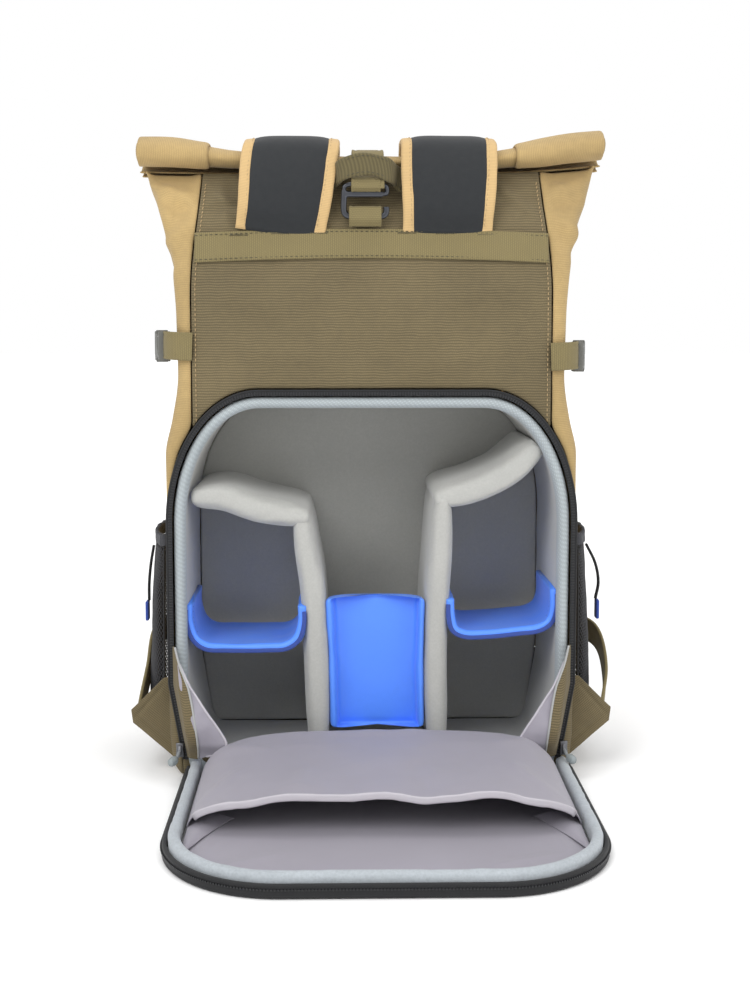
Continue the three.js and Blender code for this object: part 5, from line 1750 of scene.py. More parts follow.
def over_roll(x, thick, front_foot):
    """The line of a strap of some thickness from the roll's back face, over it and down the front."""
    away = thick / 2 + 1.2
    middle, deep, tall = (float(k) for k in roll_at(x))
    line = [
        (
            ROLL_Y + (deep + away) * math.cos(math.radians(deg)),
            middle + (tall + away) * math.sin(math.radians(deg)),
        )
        for deg in (180, 140, 90, 40)
    ]
    heights = [share * NECK for share in (0.95, 0.915, 0.88, 0.84, 0.77, 0.67, 0.6, 0.5, 0.42)]
    down = [z for z in heights if z > front_foot + 12] + [front_foot]
    return line + [off_front(x, z, away + 1.2) for z in down]


STRAP_FOOT, STRAP_SHIFT, STRAP_WIDTH, STRAP_THICK, STRAP_END = 56.5, -3, 46, 9, 150
BINDING = 7.2


def strap_path(sign, count=150):
    x = sign * (STRAP_FOOT + STRAP_WIDTH / 2)
    foot = off_back(BAND_HIGH + 7, STRAP_THICK / 2 + 0.8)
    tuck = (float(body_at(BAND_HIGH)[1]) - 1.6, BAND_HIGH - 1.5)
    line = [tuck, foot, (foot[0] - 1.2, BAND_HIGH + 19), (foot[0] + 0.6, BAND_HIGH + 33)]
    line += over_roll(x, STRAP_THICK, STRAP_END)
    total = len(line) - 1
    lean = {-1: (-3.0, 4.0), 1: (-2.0, 0.5)}[sign]
    points = []
    for k, (y, z) in enumerate(line):
        share = k / total
        sway = STRAP_FOOT - 3 * share + 24 * float(smooth(share, 0.4, 0.85))
        slant = mix(lean[0], lean[1], min(1, k / 5)) * (1 - float(smooth(share, 0.4, 0.7)))
        points.append((sign * sway + STRAP_SHIFT + slant, y, z))
    return curved(points, count)


def strap_rise(share):
    """The strap is thin where it is sewn under the band."""
    return 0.3 + 0.7 * float(smooth(share, 0.0, 0.035))


def strap_taper(share):
    return (1 + 0.1 * float(smooth(share, 0, 0.12))) * (1 - 0.3 * float(smooth(share, 0.7, 1)))


def make_shoulder_strap(side):
    sign = SIDES[side]
    path = strap_path(sign)
    base = rounded_section(STRAP_WIDTH + 3, STRAP_THICK, 2.0, 5, 16)

    def pad(share):
        flat = base * (strap_taper(share), strap_rise(share))
        crown = 1 - 0.5 * (np.abs(base[:, 0]) / (STRAP_WIDTH / 2 + 1.5)) ** 5
        return flat * np.stack([np.ones(len(flat)), crown], 1)

    name = "shoulder_strap_" + side
    obj = sweep(name, path, (1, 0, 0), pad, "neoprene")
    ripple_points(obj, 0.35, 30, sign)
    fit(obj, "dark_neoprene", name)
    for edge in (-1, 1):
        place_of = "outer" if edge * sign > 0 else "inner"
        bound = rounded_section(BINDING + 1, 5.2, 1.9, 4, 4)

        def binding(share, edge=edge):
            near = STRAP_WIDTH / 2 * strap_taper(share) + CLEAR + BINDING / 2 - 0.6
            thick = (0.95 + 0.25 * (1 - edge * bound[:, 0] / (BINDING / 2)) * 0.5) * strap_rise(share)
            return np.stack([bound[:, 0] + edge * near, bound[:, 1] * thick], 1)

        title = f"strap_binding_{side}_{place_of}"
        cloth = sweep(title, path, (1, 0, 0), binding, "tan_binding")
        ripple_points(cloth, 0.25, 8, edge)
        fit(cloth, "tan_canvas", title)
    make_strap_tail(side, sign, path[-1])


def make_strap_tail(side, sign, end):
    """The plain adjuster at the strap's end, and the webbing that runs on to the wing."""
    high = end[2] - 0.7
    low = high - 26

    def spot(a, b, c):
        return (end[0] + a, end[1] + 2.5 - c, low + 13 + b)

    outline = rounded_outline(30, 26, 3)
    ring = plate("adjuster_" + side, outline, 4.6, spot, "plastic", 1.0)
    settle(ring)
    carve(ring, [(rounded_outline(23, 7.5, 1.2, 0, up), -4, 12) for up in (-6.3, 6.3)], spot)
    fit(ring, "grey_plastic", "adjuster_" + side)
    half = BAG_WIDTH / 2
    stand = {"left": 20, "right": 30}[side]
    tip = (half + 27 - 5, 19, 70 * 0.61)
    line = [
        (end[0], end[1], low - CLEAR),
        (end[0], end[1], low - 10),
        (end[0] + sign * 10, BAG_DEPTH + 11, low - 26),
        (sign * (half - 24), BAG_DEPTH + 6, low - 38),
        (sign * (half + stand * 0.35), BAG_DEPTH - 14, low - 40),
        (sign * (half + stand * 0.95), BAG_DEPTH - 60, low - 42),
        (sign * (half + stand), BAG_DEPTH - 96, mix(low - 42, tip[2], 0.5)),
        (sign * tip[0], tip[1], tip[2]),
    ]
    path = curved(line, 150)
    along = np.gradient(path, axis=0)
    x = path[:, 0] / half
    y = (path[:, 1] - BAG_DEPTH / 2) / (BAG_DEPTH / 2)
    out = np.stack([np.sign(x) * np.abs(x) ** 5, np.sign(y) * np.abs(y) ** 5, np.zeros(len(path))], 1)
    name = "strap_webbing_" + side
    obj = flat_webbing(name, path, np.cross(out, along), "olive_webbing", 18, 1.9)
    fit(obj, "olive_webbing", name)


# Closure: hook, its webbing and the strap over the roll

HOOK_X = -4.5
HOOK_WIDE, HOOK_WIRE, HOOK_THICK, HOOK_TALL = 33, 4.6, 3.4, 24
HOOK_LOW = BAND_HIGH + 9
HOOK_Y = float(body_at(HOOK_LOW)[1]) - 7.5
WEBBING, WEBBING_THICK = 24, 1.8


def make_hook():
    """A flat cast hook: two bars, a closed left post and a right side that opens in a curl."""
    left, right = -HOOK_WIDE / 2, HOOK_WIDE / 2
    w = HOOK_WIRE
    slot = HOOK_TALL - 2 * w - 0.6
    strokes = [
        [
            (left + w / 2, slot + w), (left + w / 2, w), (left + w / 2 + 2, w / 2), (right - 4, w / 2),
            (right - w / 2, w / 2 + 2), (right - w / 2, w + 3.6),
        ],
        [
            (left + w / 2, slot + w / 2 - 1), (left + w / 2, HOOK_TALL - 3), (left + 3.4, HOOK_TALL - 1.6),
            (right - 3.4, HOOK_TALL - 1.6), (right - 1.9, HOOK_TALL - 3), (right - 1.9, slot + 3),
            (right - 5, slot + w / 2),
        ],
        [(left + w / 2, slot + w / 2), (right - 5, slot + w / 2)],
    ]
    widths = [4.2, 3.0, 4.2]
    parts = []
    for stroke, wide in zip(strokes, widths):
        path = [(HOOK_X + x, HOOK_Y + HOOK_THICK / 2, HOOK_LOW + z) for x, z in stroke]
        smooth_path = curved(path, 90) if len(path) > 2 else spaced(path, 40)
        part = sweep(
            "hook_bar", smooth_path, (0, 1, 0), rounded_section(HOOK_THICK, wide, 1.3, 5, 3), "gunmetal"
        )
        parts.append(part)
    obj = joined("closing_hook", parts)
    remesh = obj.modifiers.new("Cast", "REMESH")
    remesh.mode = "VOXEL"
    remesh.voxel_size = 0.4 * MM
    settle(obj)
    obj.data.materials.clear()
    obj.data.materials.append(finish("gunmetal"))
    ease = obj.modifiers.new("Ease", "SMOOTH")
    ease.factor = 0.5
    ease.iterations = 4
    settle(obj)
    obj.data.shade_smooth()
    fit(obj, "hook_metal", "closing_hook")


def make_closure():
    make_hook()
    bar_y = HOOK_Y + HOOK_THICK / 2
    low_bar = HOOK_LOW + HOOK_WIRE / 2
    r = HOOK_THICK / 2 + 1 + WEBBING_THICK / 2
    band_top = BAND_HIGH + 3
    back = float(body_at(band_top)[1])
    line = [
        (back - 4, band_top + 1.4),
        (bar_y - r - 0.3, low_bar - 2.4),
        (bar_y - r, low_bar + 0.6),
        (bar_y - r * 0.7, low_bar + HOOK_WIRE / 2 + r * 0.6),
        (bar_y, low_bar + HOOK_WIRE / 2 + r * 0.9),
        (bar_y + r * 0.8, low_bar + HOOK_WIRE / 2 + r * 0.3),
        (bar_y + r, low_bar - 1.5),
    ]
    path = curved([(HOOK_X, y, z) for y, z in line], 60)
    anchor = flat_webbing("anchor_webbing", path, (1, 0, 0), "olive_webbing", WEBBING - 2, WEBBING_THICK)
    fit(anchor, "olive_webbing", "anchor_webbing")
    top_bar = HOOK_LOW + HOOK_TALL - 1.3
    line = [
        (bar_y - r, top_bar - 2.6), (bar_y - r, top_bar + 1.6), (bar_y, top_bar + 4.4),
        (bar_y + 5, top_bar + 8.5),
    ]
    line += over_roll(HOOK_X, WEBBING_THICK, NECK * 0.7)
    path = curved([(HOOK_X + 2, y, z) for y, z in line], 200)
    strap = flat_webbing("closing_strap", path, (1, 0, 0), "olive_webbing", WEBBING - 2, WEBBING_THICK)
    loop = []
    for a in np.linspace(-100, 120, 20):
        k = math.radians(a)
        loop.append(
            (HOOK_X + 0.5, bar_y - (r + 0.2) * math.cos(k), top_bar + (r + 0.9) * math.sin(k) + 0.4)
        )
    turn = flat_webbing("closing_loop", loop, (1, 0, 0), "olive_webbing", 20, 1.7)
    fit(strap, "olive_webbing", "closing_strap")
    fit(turn, "olive_webbing")


# Haul handle

HANDLE_HALF, HANDLE_BOW, HANDLE_RISE, HANDLE_DROP = 42, 22.4, 18, 14
HANDLE_TALL, HANDLE_THICK = 15, 2.6
HANDLE = [
    (1, 0.13, 0.11), (0.81, 0.17, 0.22), (0.62, 0.2, 0.44), (0.51, 0.31, 0.61), (0.37, 0.785, 0.805),
    (0.19, 0.93, 0.945),
]


def handle_path(count=120):
    low = NECK - HANDLE_DROP
    wall = float(body_at(low)[1]) - HANDLE_THICK / 2
    half = [(a * HANDLE_HALF, wall - o * HANDLE_BOW, low + u * HANDLE_RISE) for a, o, u in HANDLE]
    left = [(HOOK_X - a, y, z) for a, y, z in half]
    right = [(HOOK_X + a, y, z) for a, y, z in half[::-1]]
    return curved(left + [(HOOK_X, wall - HANDLE_BOW, low + HANDLE_RISE)] + right, count)


def make_handle():
    path = handle_path()
    section = rounded_section(HANDLE_TALL, 3.4, 1.6, 5, 8)

    def shaped(share):
        return section * (1 + 0.04 * math.sin(share * 31), 1.0)

    obj = sweep("haul_handle", path, (0, 0, 1), shaped, "ribbed_canvas")
    ripple_points(obj, 0.35, 12, 2)
    fit(obj, "olive_webbing", "haul_handle")


# Compression straps and their side-release buckles

STRAP_LEVEL = {"left": 300, "right": 293}
BUCKLE_LONG, BUCKLE_TALL, BUCKLE_THICK = 34, 22, 8


def make_compression(side):
    sign = SIDES[side]
    z = STRAP_LEVEL[side]
    half, _, front = (float(k) for k in body_at(z))
    t = WEBBING_THICK / 2 + CLEAR

    def at(x, y):
        return (sign * x, y, z)

    start, end = at(half + 9, 12), at(half + 16, 12 + BUCKLE_LONG)
    near = [at(SEAM_BACK - 1, -t - 0.4), at(half - 2, -t - 0.6), at(half + 6, 5), start]
    path = curved(near, 50)
    path[:, 2] += np.linspace(0, 1, 50) * 1.0
    short = flat_webbing(
        "compression_strap_back_" + side, path, (0, 0, 1), "olive_webbing", 19, WEBBING_THICK
    )
    fit(short, "olive_webbing", "compression_strap_back_" + side)
    far = [
        end,
        at(half + 17, 12 + BUCKLE_LONG + 12),
        at(half + 9, front * 0.62),
        at(half + 3.5, front * 0.8),
        at(half - 1, front - 5),
        at(half - 13, front + 4),
        at(float(front_seam(z)) + 2, front + t + 3),
    ]
    long = flat_webbing(
        "compression_strap_front_" + side, curved(far, 120), (0, 0, 1), "olive_webbing", 18, WEBBING_THICK
    )
    fit(long, "olive_webbing", "compression_strap_front_" + side)
    make_buckle(side, np.array(start), np.array(end))


def make_buckle(side, start, end):
    """A fastened buckle: the socket with its side windows, and the plug whose prongs show in them."""
    along = (end - start) / np.linalg.norm(end - start)
    sign = SIDES[side]
    out = np.array((along[1], -along[0], 0)) * sign
    total = float(np.linalg.norm(end - start))

    def spot(a, b, c):
        return start + along * a + np.array((0, 0, b)) + out * (c - BUCKLE_THICK / 2)

    join = total * 0.56
    half = BUCKLE_TALL / 2
    socket = [
        (join, half - 0.5), (join - 0.6, half), (join - 5, half), (join - 9, half - 4), (5, half - 4),
        (2.4, half - 1), (1, half - 0.6), (0.4, half - 1.6),
    ]
    socket = socket + [(a, -b) for a, b in socket[::-1]]
    body = plate("buckle_socket_" + side, socket, BUCKLE_THICK, spot, "plastic", 1.3)
    settle(body)
    low, high = half - 2.6, half + 1
    window = [(join - 8.6, high), (join - 2.2, high), (join - 3, low), (join - 7, low)]
    for turn in (1, -1):
        carve(body, [([(a, turn * b) for a, b in window], -1, BUCKLE_THICK + 2)], spot)
    carve(body, [(rounded_outline(3.2, 13, 1, 4.4, 0), -1, BUCKLE_THICK + 2)], spot)
    fit(body, "grey_plastic", "buckle_socket_" + side)
    plug = [
        (total - 0.3, half - 1.4), (total - 1, half - 0.8), (total - 6, half - 0.8), (total - 9, half - 4),
        (join + 0.5, half - 4),
    ]
    plug = plug + [(a, -b) for a, b in plug[::-1]]
    front = plate(
        "buckle_plug_" + side, plug, BUCKLE_THICK - 0.8, lambda a, b, c: spot(a, b, c + 0.4), "plastic", 1.2
    )
    settle(front)
    carve(front, [(rounded_outline(3.0, 13, 1, total - 4.6, 0), -1, BUCKLE_THICK + 2)], spot)
    prongs = []
    for turn in (-1, 1):
        tip = [
            (join + 2, turn * (half - 4.6)), (join - 1.5, turn * (half - 3.4)),
            (join - 5, turn * (half - 1.9)), (join - 8, turn * (half - 3.4)),
        ]
        line = [spot(a, b, BUCKLE_THICK / 2) for a, b in tip]
        prongs.append(
            sweep("prong", curved(line, 30), out, rounded_section(3.6, 2.6, 0.9, 4, 2), "plastic")
        )
    whole = joined("buckle_plug_" + side, [front] + prongs)
    fit(whole, "grey_plastic", "buckle_plug_" + side)


def carve(obj, cuts, spot):
    """Cuts outlines out of a plain mesh. Each one has a start and a depth, away from the bag."""
    for outline, start, deep in cuts:
        cutter = plate("cutter", outline, deep, lambda a, b, c: spot(a, b, c + start), "plastic", 0.01)
        settle(cutter)
        trim = obj.modifiers.new("Cut", "BOOLEAN")
        trim.operation = "DIFFERENCE"
        trim.object = cutter
        trim.solver = "EXACT"
        settle(obj)
        bpy.data.objects.remove(cutter)


# Zip sliders

def make_slider(side):
    sign = SIDES[side]
    low, high = bag_box("zip_slider_" + side)
    middle = (low + high) / 2
    wide, deep, tall = high - low

    def spot(a, b, c):
        return (middle[0] + a, high[1] - c, middle[2] + b)

    body = plate(
        "slider_body",
        [
            (-wide / 2, -tall / 2), (wide / 2, -tall / 2), (wide / 2 * 0.8, tall * 0.1),
            (wide / 2 * 0.95, tall / 2), (-wide / 2 * 0.95, tall / 2), (-wide / 2 * 0.8, tall * 0.1),
        ],
        deep * 0.8,
        spot,
        "zip_metal",
        0.7,
    )
    bridge = sweep(
        "slider_bridge",
        curved(
            [
                spot(0, -tall * 0.35, deep * 0.75),
                spot(0, -tall * 0.1, deep * 1.25),
                spot(0, tall * 0.3, deep * 0.75),
            ],
            20,
        ),
        (1, 0, 0),
        rounded_section(2.2, 1.2, 0.5),
        "zip_metal",
    )
    obj = joined("zip_slider_" + side, [body, bridge])
    fit(obj, "zip_metal", "zip_slider_" + side)
    start = np.array(spot(0, -tall * 0.05, deep * 1.1))
    line = [
        start,
        start + (sign * 0.6, -2.0, -1.0),
        start + (sign * 1.4, -4.0, -3.0),
        start + (sign * 2.4, -6.0, -4.0),
    ]
    cord = sweep(
        "slider_cord_" + side, curved(line, 40), (0, 0, 1), rounded_section(2.3, 2.1, 1.0), "grey_cord"
    )
    fit(cord, "zip_metal")
    knob = [line[3], line[3] + (sign * 1.5, -3.0, -0.6), line[3] + (sign * 3.0, -6.0, -0.8)]
    bulb = rounded_section(6.4, 5.6, 2.7, 6, 2)

    def swollen(share):
        return bulb * (0.55 + 0.45 * math.sin(math.pi * (0.12 + 0.8 * share)) ** 0.6)

    end = sweep("slider_cord_end_" + side, curved(knob, 24), (0, 0, 1), swollen, "cord_end")
    fit(end, "zip_metal")


# Stitching

def seam_line(kind, count=220):
    """Rows of stitches: each is a line of points that lies on its cloth."""
    lines = []
    if kind == "band":
        for inset in (2.2, BAND_TALL - 2.2):
            xs = np.linspace(-1, 1, count) * (float(back_seam(BAND_LOW)) - 3)
            zs = BAND_LOW + inset + 3 * (1 - (xs / xs[-1]) ** 2)
            ys = body_at(zs)[1] - 3.05
            lines.append(np.stack([xs, ys, zs], 1))
    if kind == "tacks":
        edge = float(back_seam(BAND_LOW)) - 3
        for x in (-90, -62, -36, 24, 50, 78):
            high = BAND_LOW + BAND_TALL - 3.4 + 3 * (1 - (x / edge) ** 2)
            spot = np.linspace(x - 6, x + 6, 24)
            z = high + 0.5 * (np.arange(24) % 2)
            lines.append(np.stack([spot, body_at(z)[1] - 3.0, z], 1))
    if kind == "back":
        zs = np.linspace(250, NECK - 8, count)
        for sign in (-1, 1):
            x = sign * (back_seam(zs) - 3.2)
            lines.append(np.stack([x, body_at(zs)[1] - 1.2 + 0 * x, zs + lift_at(x, zs)], 1))
    if kind == "handle":
        path = handle_path(count)
        for off in (-5.4, 5.4):
            lines.append(path[6:-6] + (0, -1.9, off))
    return lines


def make_stitching():
    form = bpy.context.scene.bag_form
    spacing = form.stitch_spacing / MM
    size = (0.5, 0.6, form.stitch_length / MM)
    for kind, tone, slot in (
        ("band", "thread_dark", "olive_webbing"),
        ("back", "thread_tan", "olive_canvas"),
        ("handle", "thread_dark", "olive_webbing"),
    ):
        row = laid_row("stitches_" + kind, seam_line(kind), spacing, size, tone)
        fit(row, slot)
    tacks = laid_row("stitches_tacks", seam_line("tacks"), 0.8, (0.5, 0.5, 1.0), "thread_dark")
    fit(tacks, "olive_webbing")
    for side, sign in SIDES.items():
        line = curved([(x, 0, z) for x, z in pad_lines()[side]], 240)[6:-6]
        along = heading(line)
        up = np.stack([-along[:, 2], np.zeros(len(line)), along[:, 0]], 1)
        above = line + up * (PAD_THICK / 2 - 0.55) + (0, 16.5, 0)
        row = laid_row("stitches_pad_" + side, [above], spacing, size, "thread_blue", facing=(0, 0, 1))
        fit(row, "blue_nylon")
        path = strap_path(sign, 260)
        along = heading(path)
        out = np.cross(along, (1, 0, 0))
        lines = []
        for edge in (-1, 1):
            near = np.array([STRAP_WIDTH / 2 * strap_taper(s) + 1.6 for s in np.linspace(0, 1, 260)])
            lift = 2.95
            for face in (-1, 1):
                aside = np.stack([edge * near, 0 * near, 0 * near], 1)
                lines.append((path + aside + face * lift * out)[4:-3])
        row = laid_row("stitches_strap_" + side, lines, spacing, size, "thread_tan")
        fit(row, "tan_canvas")


# Stage

def make_stage():
    studio = bpy.context.scene.bag_stage
    bpy.ops.mesh.primitive_plane_add(size=30, location=(0, 0, -0.0002))
    floor = bpy.context.object
    floor.name = "studio_floor"
    paint = bpy.data.materials.new("studio_white")
    paint.use_nodes = True
    shader = paint.node_tree.nodes["Principled BSDF"]
    shader.inputs["Base Color"].default_value = (*studio.floor_colour[:3], 1)
    shader.inputs["Roughness"].default_value = 1.0
    shader.inputs["Specular IOR Level"].default_value = 0.0
    shader.inputs["Emission Color"].default_value = (1, 1, 1, 1)
    nodes = paint.node_tree
    where = nodes.nodes.new("ShaderNodeTexCoord").outputs["Object"]
    far = place(nodes, "ShaderNodeVectorMath", {0: where}, operation="LENGTH").outputs["Value"]
    # The floor glows more the farther it lies from the bag. This is painted light that keeps the far floor
    # white, while the bag keeps its soft shadow near by.
    glow = place(
        nodes, "ShaderNodeMapRange", {"Value": far, "From Min": 0.3, "From Max": 2.0, "To Max": 0.45}
    )
    nodes.links.new(glow.outputs[0], shader.inputs["Emission Strength"])
    floor.data.materials.append(paint)
    world = bpy.data.worlds.new("studio_world")
    bpy.context.scene.world = world
    world.use_nodes = True
    tree = world.node_tree
    tree.nodes.clear()
    light = place(tree, "ShaderNodeBackground", {"Color": (1, 1, 1, 1), "Strength": studio.sky_strength})
    seen = place(tree, "ShaderNodeBackground", {"Color": (1, 1, 1, 1), "Strength": 1.0})
    path = tree.nodes.new("ShaderNodeLightPath")
    both = place(
        tree,
        "ShaderNodeMixShader",
        {0: path.outputs["Is Camera Ray"], 1: light.outputs[0], 2: seen.outputs[0]},
    )
    output = tree.nodes.new("ShaderNodeOutputWorld")
    tree.links.new(both.outputs[0], output.inputs[0])
    add_light("key", (-1.0, -1.7, 1.7), 1.5, studio.key_power)
    add_light("fill", (1.3, -1.5, 1.1), 1.8, studio.fill_power)
    add_light("top", (0.1, 0.2, 2.2), 1.6, studio.top_power)
    data = bpy.data.cameras.new("photo_camera")
    data.sensor_fit = "AUTO"
    data.sensor_width = 36
    data.lens = 56.84
    data.clip_start = 0.05
    camera = bpy.data.objects.new("photo_camera", data)
    bpy.context.scene.collection.objects.link(camera)
    yaw, pitch, far = math.radians(1.3), math.radians(6.4), 1.079
    camera.location = (0.002 - far * math.sin(yaw), -far * math.cos(yaw) - 0.075, 0.316)
    forward = Vector((math.sin(yaw) * math.cos(pitch), math.cos(yaw) * math.cos(pitch), -math.sin(pitch)))
    camera.rotation_euler = forward.to_track_quat("-Z", "Y").to_euler()
    bpy.context.scene.camera = camera
    bpy.context.scene.view_settings.view_transform = "Standard"


def add_light(name, spot, size, power):
    data = bpy.data.lights.new(name, "AREA")
    data.shape = "DISK"
    data.size = size
    data.energy = power
    obj = bpy.data.objects.new(name, data)
    bpy.context.scene.collection.objects.link(obj)
    obj.location = spot
    obj.rotation_euler = (Vector((0, -0.05, 0.2)) - Vector(spot)).to_track_quat("-Z", "Y").to_euler()


# What a user may change

def length(name, about, default):
    return bpy.props.FloatProperty(
        name=name, description=about, default=default, min=0.0, unit="LENGTH", precision=4
    )


def power(name, about, default):
    return bpy.props.FloatProperty(name=name, description=about, default=default, unit="POWER")


def tint(name, about, code):
    parts = [int(code[k : k + 2], 16) / 255 for k in (0, 2, 4)]
    return bpy.props.FloatVectorProperty(
        name=name, description=about, default=parts, size=3, min=0.0, max=1.0, subtype="COLOR_GAMMA"
    )


class BagForm(bpy.types.PropertyGroup):
    """Sizes of the cloth, stitches, teeth and net."""

    cloth_thick: length("Cloth", "Thickness of the shell's canvas", 0.0016)
    fold_depth: length("Fold depth", "Height of the shell's deepest folds", 0.0026)
    stitch_length: length("Stitch", "Length of one stitch", 0.0022)
    stitch_spacing: length("Stitch spacing", "From one stitch to the next", 0.0034)
    tooth_pitch: length("Tooth pitch", "From one zip tooth to the next", 0.0019)
    net_pitch: length("Net pitch", "Width of one mesh of the side pockets' net", 0.0042)
    net_thread: length("Net thread", "Thickness of the net's thread", 0.0009)
    puff: bpy.props.FloatProperty(
        name="Padding pressure", description="How hard the padding swells", default=4.0
    )


class BagColours(bpy.types.PropertyGroup):
    """Colours of the cloths, threads, plastic and metal."""

    olive: tint("Olive canvas", "Back panel, boot, wings", "6d6146")
    tan: tint("Tan canvas", "Sides, front and roll", "aa9162")
    webbing: tint("Webbing", "Band, straps and handle", "7a6e49")
    handle: tint("Handle", "Haul handle", "5f5639")
    binding_tan: tint("Strap binding", "Edges of the shoulder straps", "c4a573")
    neoprene: tint("Strap padding", "Face of the shoulder straps", "171a1d")
    rim: tint("Rim knit", "Edge of the compartment", "aab2b5")
    velvet: tint("Lining", "Compartment and dividers", "ababa7")
    flap_rim: tint("Flap binding", "Bound edge of the flap", "a0a6ab")
    mauve: tint("Mauve nylon", "Flap floor, pocket and gussets", "938f99")
    # Lighter than the mauve cloth: the bound edges' mauve with a painted highlight
    mauve_hem: tint("Mauve hem", "Bound edges of the mauve cloth", "b5b1b8")
    blue: tint("Blue nylon", "Padded dividers", "5590ff")
    blue_edge: tint("Blue edge", "Bound edges of the blue pads, and tabs", "2b4698")
    tape: tint("Black tape", "Zip tapes and pocket edges", "121316")
    net: tint("Net", "Net of the side pockets", "26262a")
    hem: tint("Net hem", "Gathered hem of the side pockets", "2f3036")
    teeth: tint("Zip teeth", "Teeth of the zips", "1b1c1f")
    skin: tint("Flap underside", "Outer cloth of the flap", "565a5c")
    plastic: tint("Plastic", "Buckles and adjusters", "5c5c57")
    gunmetal: tint("Hook", "Closing hook", "494b50")
    zip_metal: tint("Zip metal", "Sliders", "6b6c70")
    cord: tint("Zip cord", "Pulls of the sliders", "8a8f92")
    cord_end: tint("Cord end", "Moulded ends of the zip pulls", "8d9597")
    thread_tan: tint("Tan thread", "Stitches on tan and olive", "a88e66")
    thread_dark: tint("Dark thread", "Stitches on the band and handle", "46412f")
    thread_pale: tint("Pale thread", "Piping at the gussets", "9fa09f")


class StageSettings(bpy.types.PropertyGroup):
    """The studio's light."""

    floor_colour: tint("Floor", "Colour of the studio floor", "fafafa")
    sky_strength: bpy.props.FloatProperty(
        name="Sky", description="Strength of the even light", default=0.75
    )
    key_power: power("Key", "Power of the main light", 26.0)
    fill_power: power("Fill", "Power of the fill light", 12.0)
    top_power: power("Top", "Power of the light above", 14.0)


# Operators

class ShellOperator(bpy.types.Operator):
    """Makes the canvas shell and the boot"""

    bl_idname = "bag.shell"
    bl_label = "Shell"

    def execute(self, context):
        make_back_panel()
        make_front_panel()
        for side in SIDES:
            make_side_panel(side)
        make_boot()
        return {"FINISHED"}


class RollOperator(bpy.types.Operator):
    """Makes the rolled mouth and its folded ends"""

    bl_idname = "bag.roll"
    bl_label = "Roll top"

    def execute(self, context):
        make_roll()
        return {"FINISHED"}


class CompartmentOperator(bpy.types.Operator):
    """Makes the padded lining and the zip round the opening"""

    bl_idname = "bag.compartment"
    bl_label = "Compartment"

    def execute(self, context):
        make_liner()
        make_opening_zip()
        return {"FINISHED"}


class DividerOperator(bpy.types.Operator):
    """Makes the padded dividers"""

    bl_idname = "bag.dividers"
    bl_label = "Dividers"

    def execute(self, context):
        for name in DIVIDERS:
            make_divider(name)
        return {"FINISHED"}


class PadOperator(bpy.types.Operator):
    """Makes the blue padded boards"""

    bl_idname = "bag.pads"
    bl_label = "Blue pads"

    def execute(self, context):
        for side in SIDES:
            make_pad(side)
        make_centre_pad()
        return {"FINISHED"}


class FlapOperator(bpy.types.Operator):
    """Makes the flap's floor, bound rim and zip"""

    bl_idname = "bag.flap"
    bl_label = "Flap"

    def execute(self, context):
        make_flap_panel()
        make_flap_rim()
        make_flap_zip()
        return {"FINISHED"}


class PocketOperator(bpy.types.Operator):
    """Makes the stretched pocket on the flap"""

    bl_idname = "bag.flap_pocket"
    bl_label = "Flap pocket"

    def execute(self, context):
        make_pocket()
        return {"FINISHED"}


class GussetOperator(bpy.types.Operator):
    """Makes the folded gussets at the hinge"""

    bl_idname = "bag.gussets"
    bl_label = "Gussets"

    def execute(self, context):
        for side in SIDES:
            make_gusset(side)
        return {"FINISHED"}


class SidePocketOperator(bpy.types.Operator):
    """Makes the net pockets with their hems and pulls"""

    bl_idname = "bag.side_pockets"
    bl_label = "Side pockets"

    def execute(self, context):
        for side in SIDES:
            make_side_pocket(side)
        return {"FINISHED"}


class WingOperator(bpy.types.Operator):
    """Makes the cloth wings at the bottom corners"""

    bl_idname = "bag.wings"
    bl_label = "Wings"

    def execute(self, context):
        for side in SIDES:
            make_wing(side)
        return {"FINISHED"}


class StrapOperator(bpy.types.Operator):
    """Makes the band, the shoulder straps and their webbing"""

    bl_idname = "bag.shoulder_straps"
    bl_label = "Shoulder straps"

    def execute(self, context):
        make_band()
        for side in SIDES:
            make_shoulder_strap(side)
        return {"FINISHED"}


class ClosureOperator(bpy.types.Operator):
    """Makes the hook, its webbing, the closing strap and the handle"""

    bl_idname = "bag.closure"
    bl_label = "Closure and handle"

    def execute(self, context):
        make_closure()
        make_handle()
        return {"FINISHED"}


class CompressionOperator(bpy.types.Operator):
    """Makes the compression straps and their buckles"""

    bl_idname = "bag.compression"
    bl_label = "Compression straps"

    def execute(self, context):
        for side in SIDES:
            make_compression(side)
        return {"FINISHED"}


class SliderOperator(bpy.types.Operator):
    """Makes the zip sliders and their corded pulls"""

    bl_idname = "bag.sliders"
    bl_label = "Zip sliders"

    def execute(self, context):
        for side in SIDES:
            make_slider(side)
        return {"FINISHED"}


class StitchOperator(bpy.types.Operator):
    """Lays the visible rows of stitches"""

    bl_idname = "bag.stitches"
    bl_label = "Stitching"

    def execute(self, context):
        make_stitching()
        return {"FINISHED"}


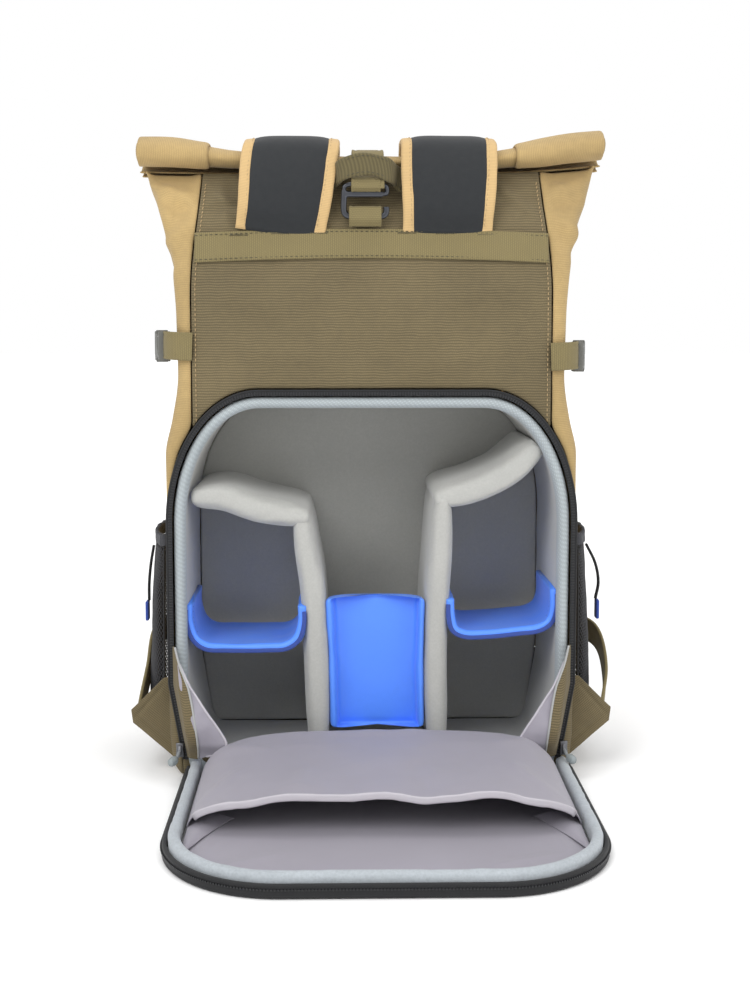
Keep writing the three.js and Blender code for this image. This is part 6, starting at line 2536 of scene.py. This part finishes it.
class StageOperator(bpy.types.Operator):
    """Sets up the floor, the light and the camera"""

    bl_idname = "bag.stage"
    bl_label = "Stage"

    def execute(self, context):
        make_stage()
        return {"FINISHED"}


OPERATORS = (
    StageOperator,
    ShellOperator,
    RollOperator,
    CompartmentOperator,
    DividerOperator,
    PadOperator,
    FlapOperator,
    PocketOperator,
    GussetOperator,
    SidePocketOperator,
    WingOperator,
    StrapOperator,
    ClosureOperator,
    CompressionOperator,
    SliderOperator,
    StitchOperator,
)


class BackpackPanel(bpy.types.Panel):
    """Lists the backpack's pieces, sizes and colours"""

    bl_idname = "VIEW3D_PT_backpack"
    bl_label = "Backpack"
    bl_space_type = "VIEW_3D"
    bl_region_type = "UI"
    bl_category = "Backpack"

    def draw(self, context):
        for operator in OPERATORS:
            self.layout.operator(operator.bl_idname)
        for group in (context.scene.bag_form, context.scene.bag_colours, context.scene.bag_stage):
            box = self.layout.box()
            for key in group.__annotations__:
                box.prop(group, key)


GROUP_CLASSES = {"bag_form": BagForm, "bag_colours": BagColours, "bag_stage": StageSettings}


def register():
    for group in (*GROUP_CLASSES.values(), *OPERATORS, BackpackPanel):
        bpy.utils.register_class(group)
    for key, group in GROUP_CLASSES.items():
        setattr(bpy.types.Scene, key, bpy.props.PointerProperty(type=group))


def unregister():
    for key in GROUP_CLASSES:
        delattr(bpy.types.Scene, key)
    for group in (BackpackPanel, *OPERATORS[::-1], *GROUP_CLASSES.values()):
        bpy.utils.unregister_class(group)


def main():
    register()
    bpy.ops.bag.stage()
    bpy.ops.bag.shell()
    bpy.ops.bag.roll()
    bpy.ops.bag.compartment()
    bpy.ops.bag.dividers()
    bpy.ops.bag.pads()
    bpy.ops.bag.flap()
    bpy.ops.bag.flap_pocket()
    bpy.ops.bag.gussets()
    bpy.ops.bag.side_pockets()
    bpy.ops.bag.wings()
    bpy.ops.bag.shoulder_straps()
    bpy.ops.bag.closure()
    bpy.ops.bag.compression()
    bpy.ops.bag.sliders()
    bpy.ops.bag.stitches()


if __name__ == "__main__":
    main()
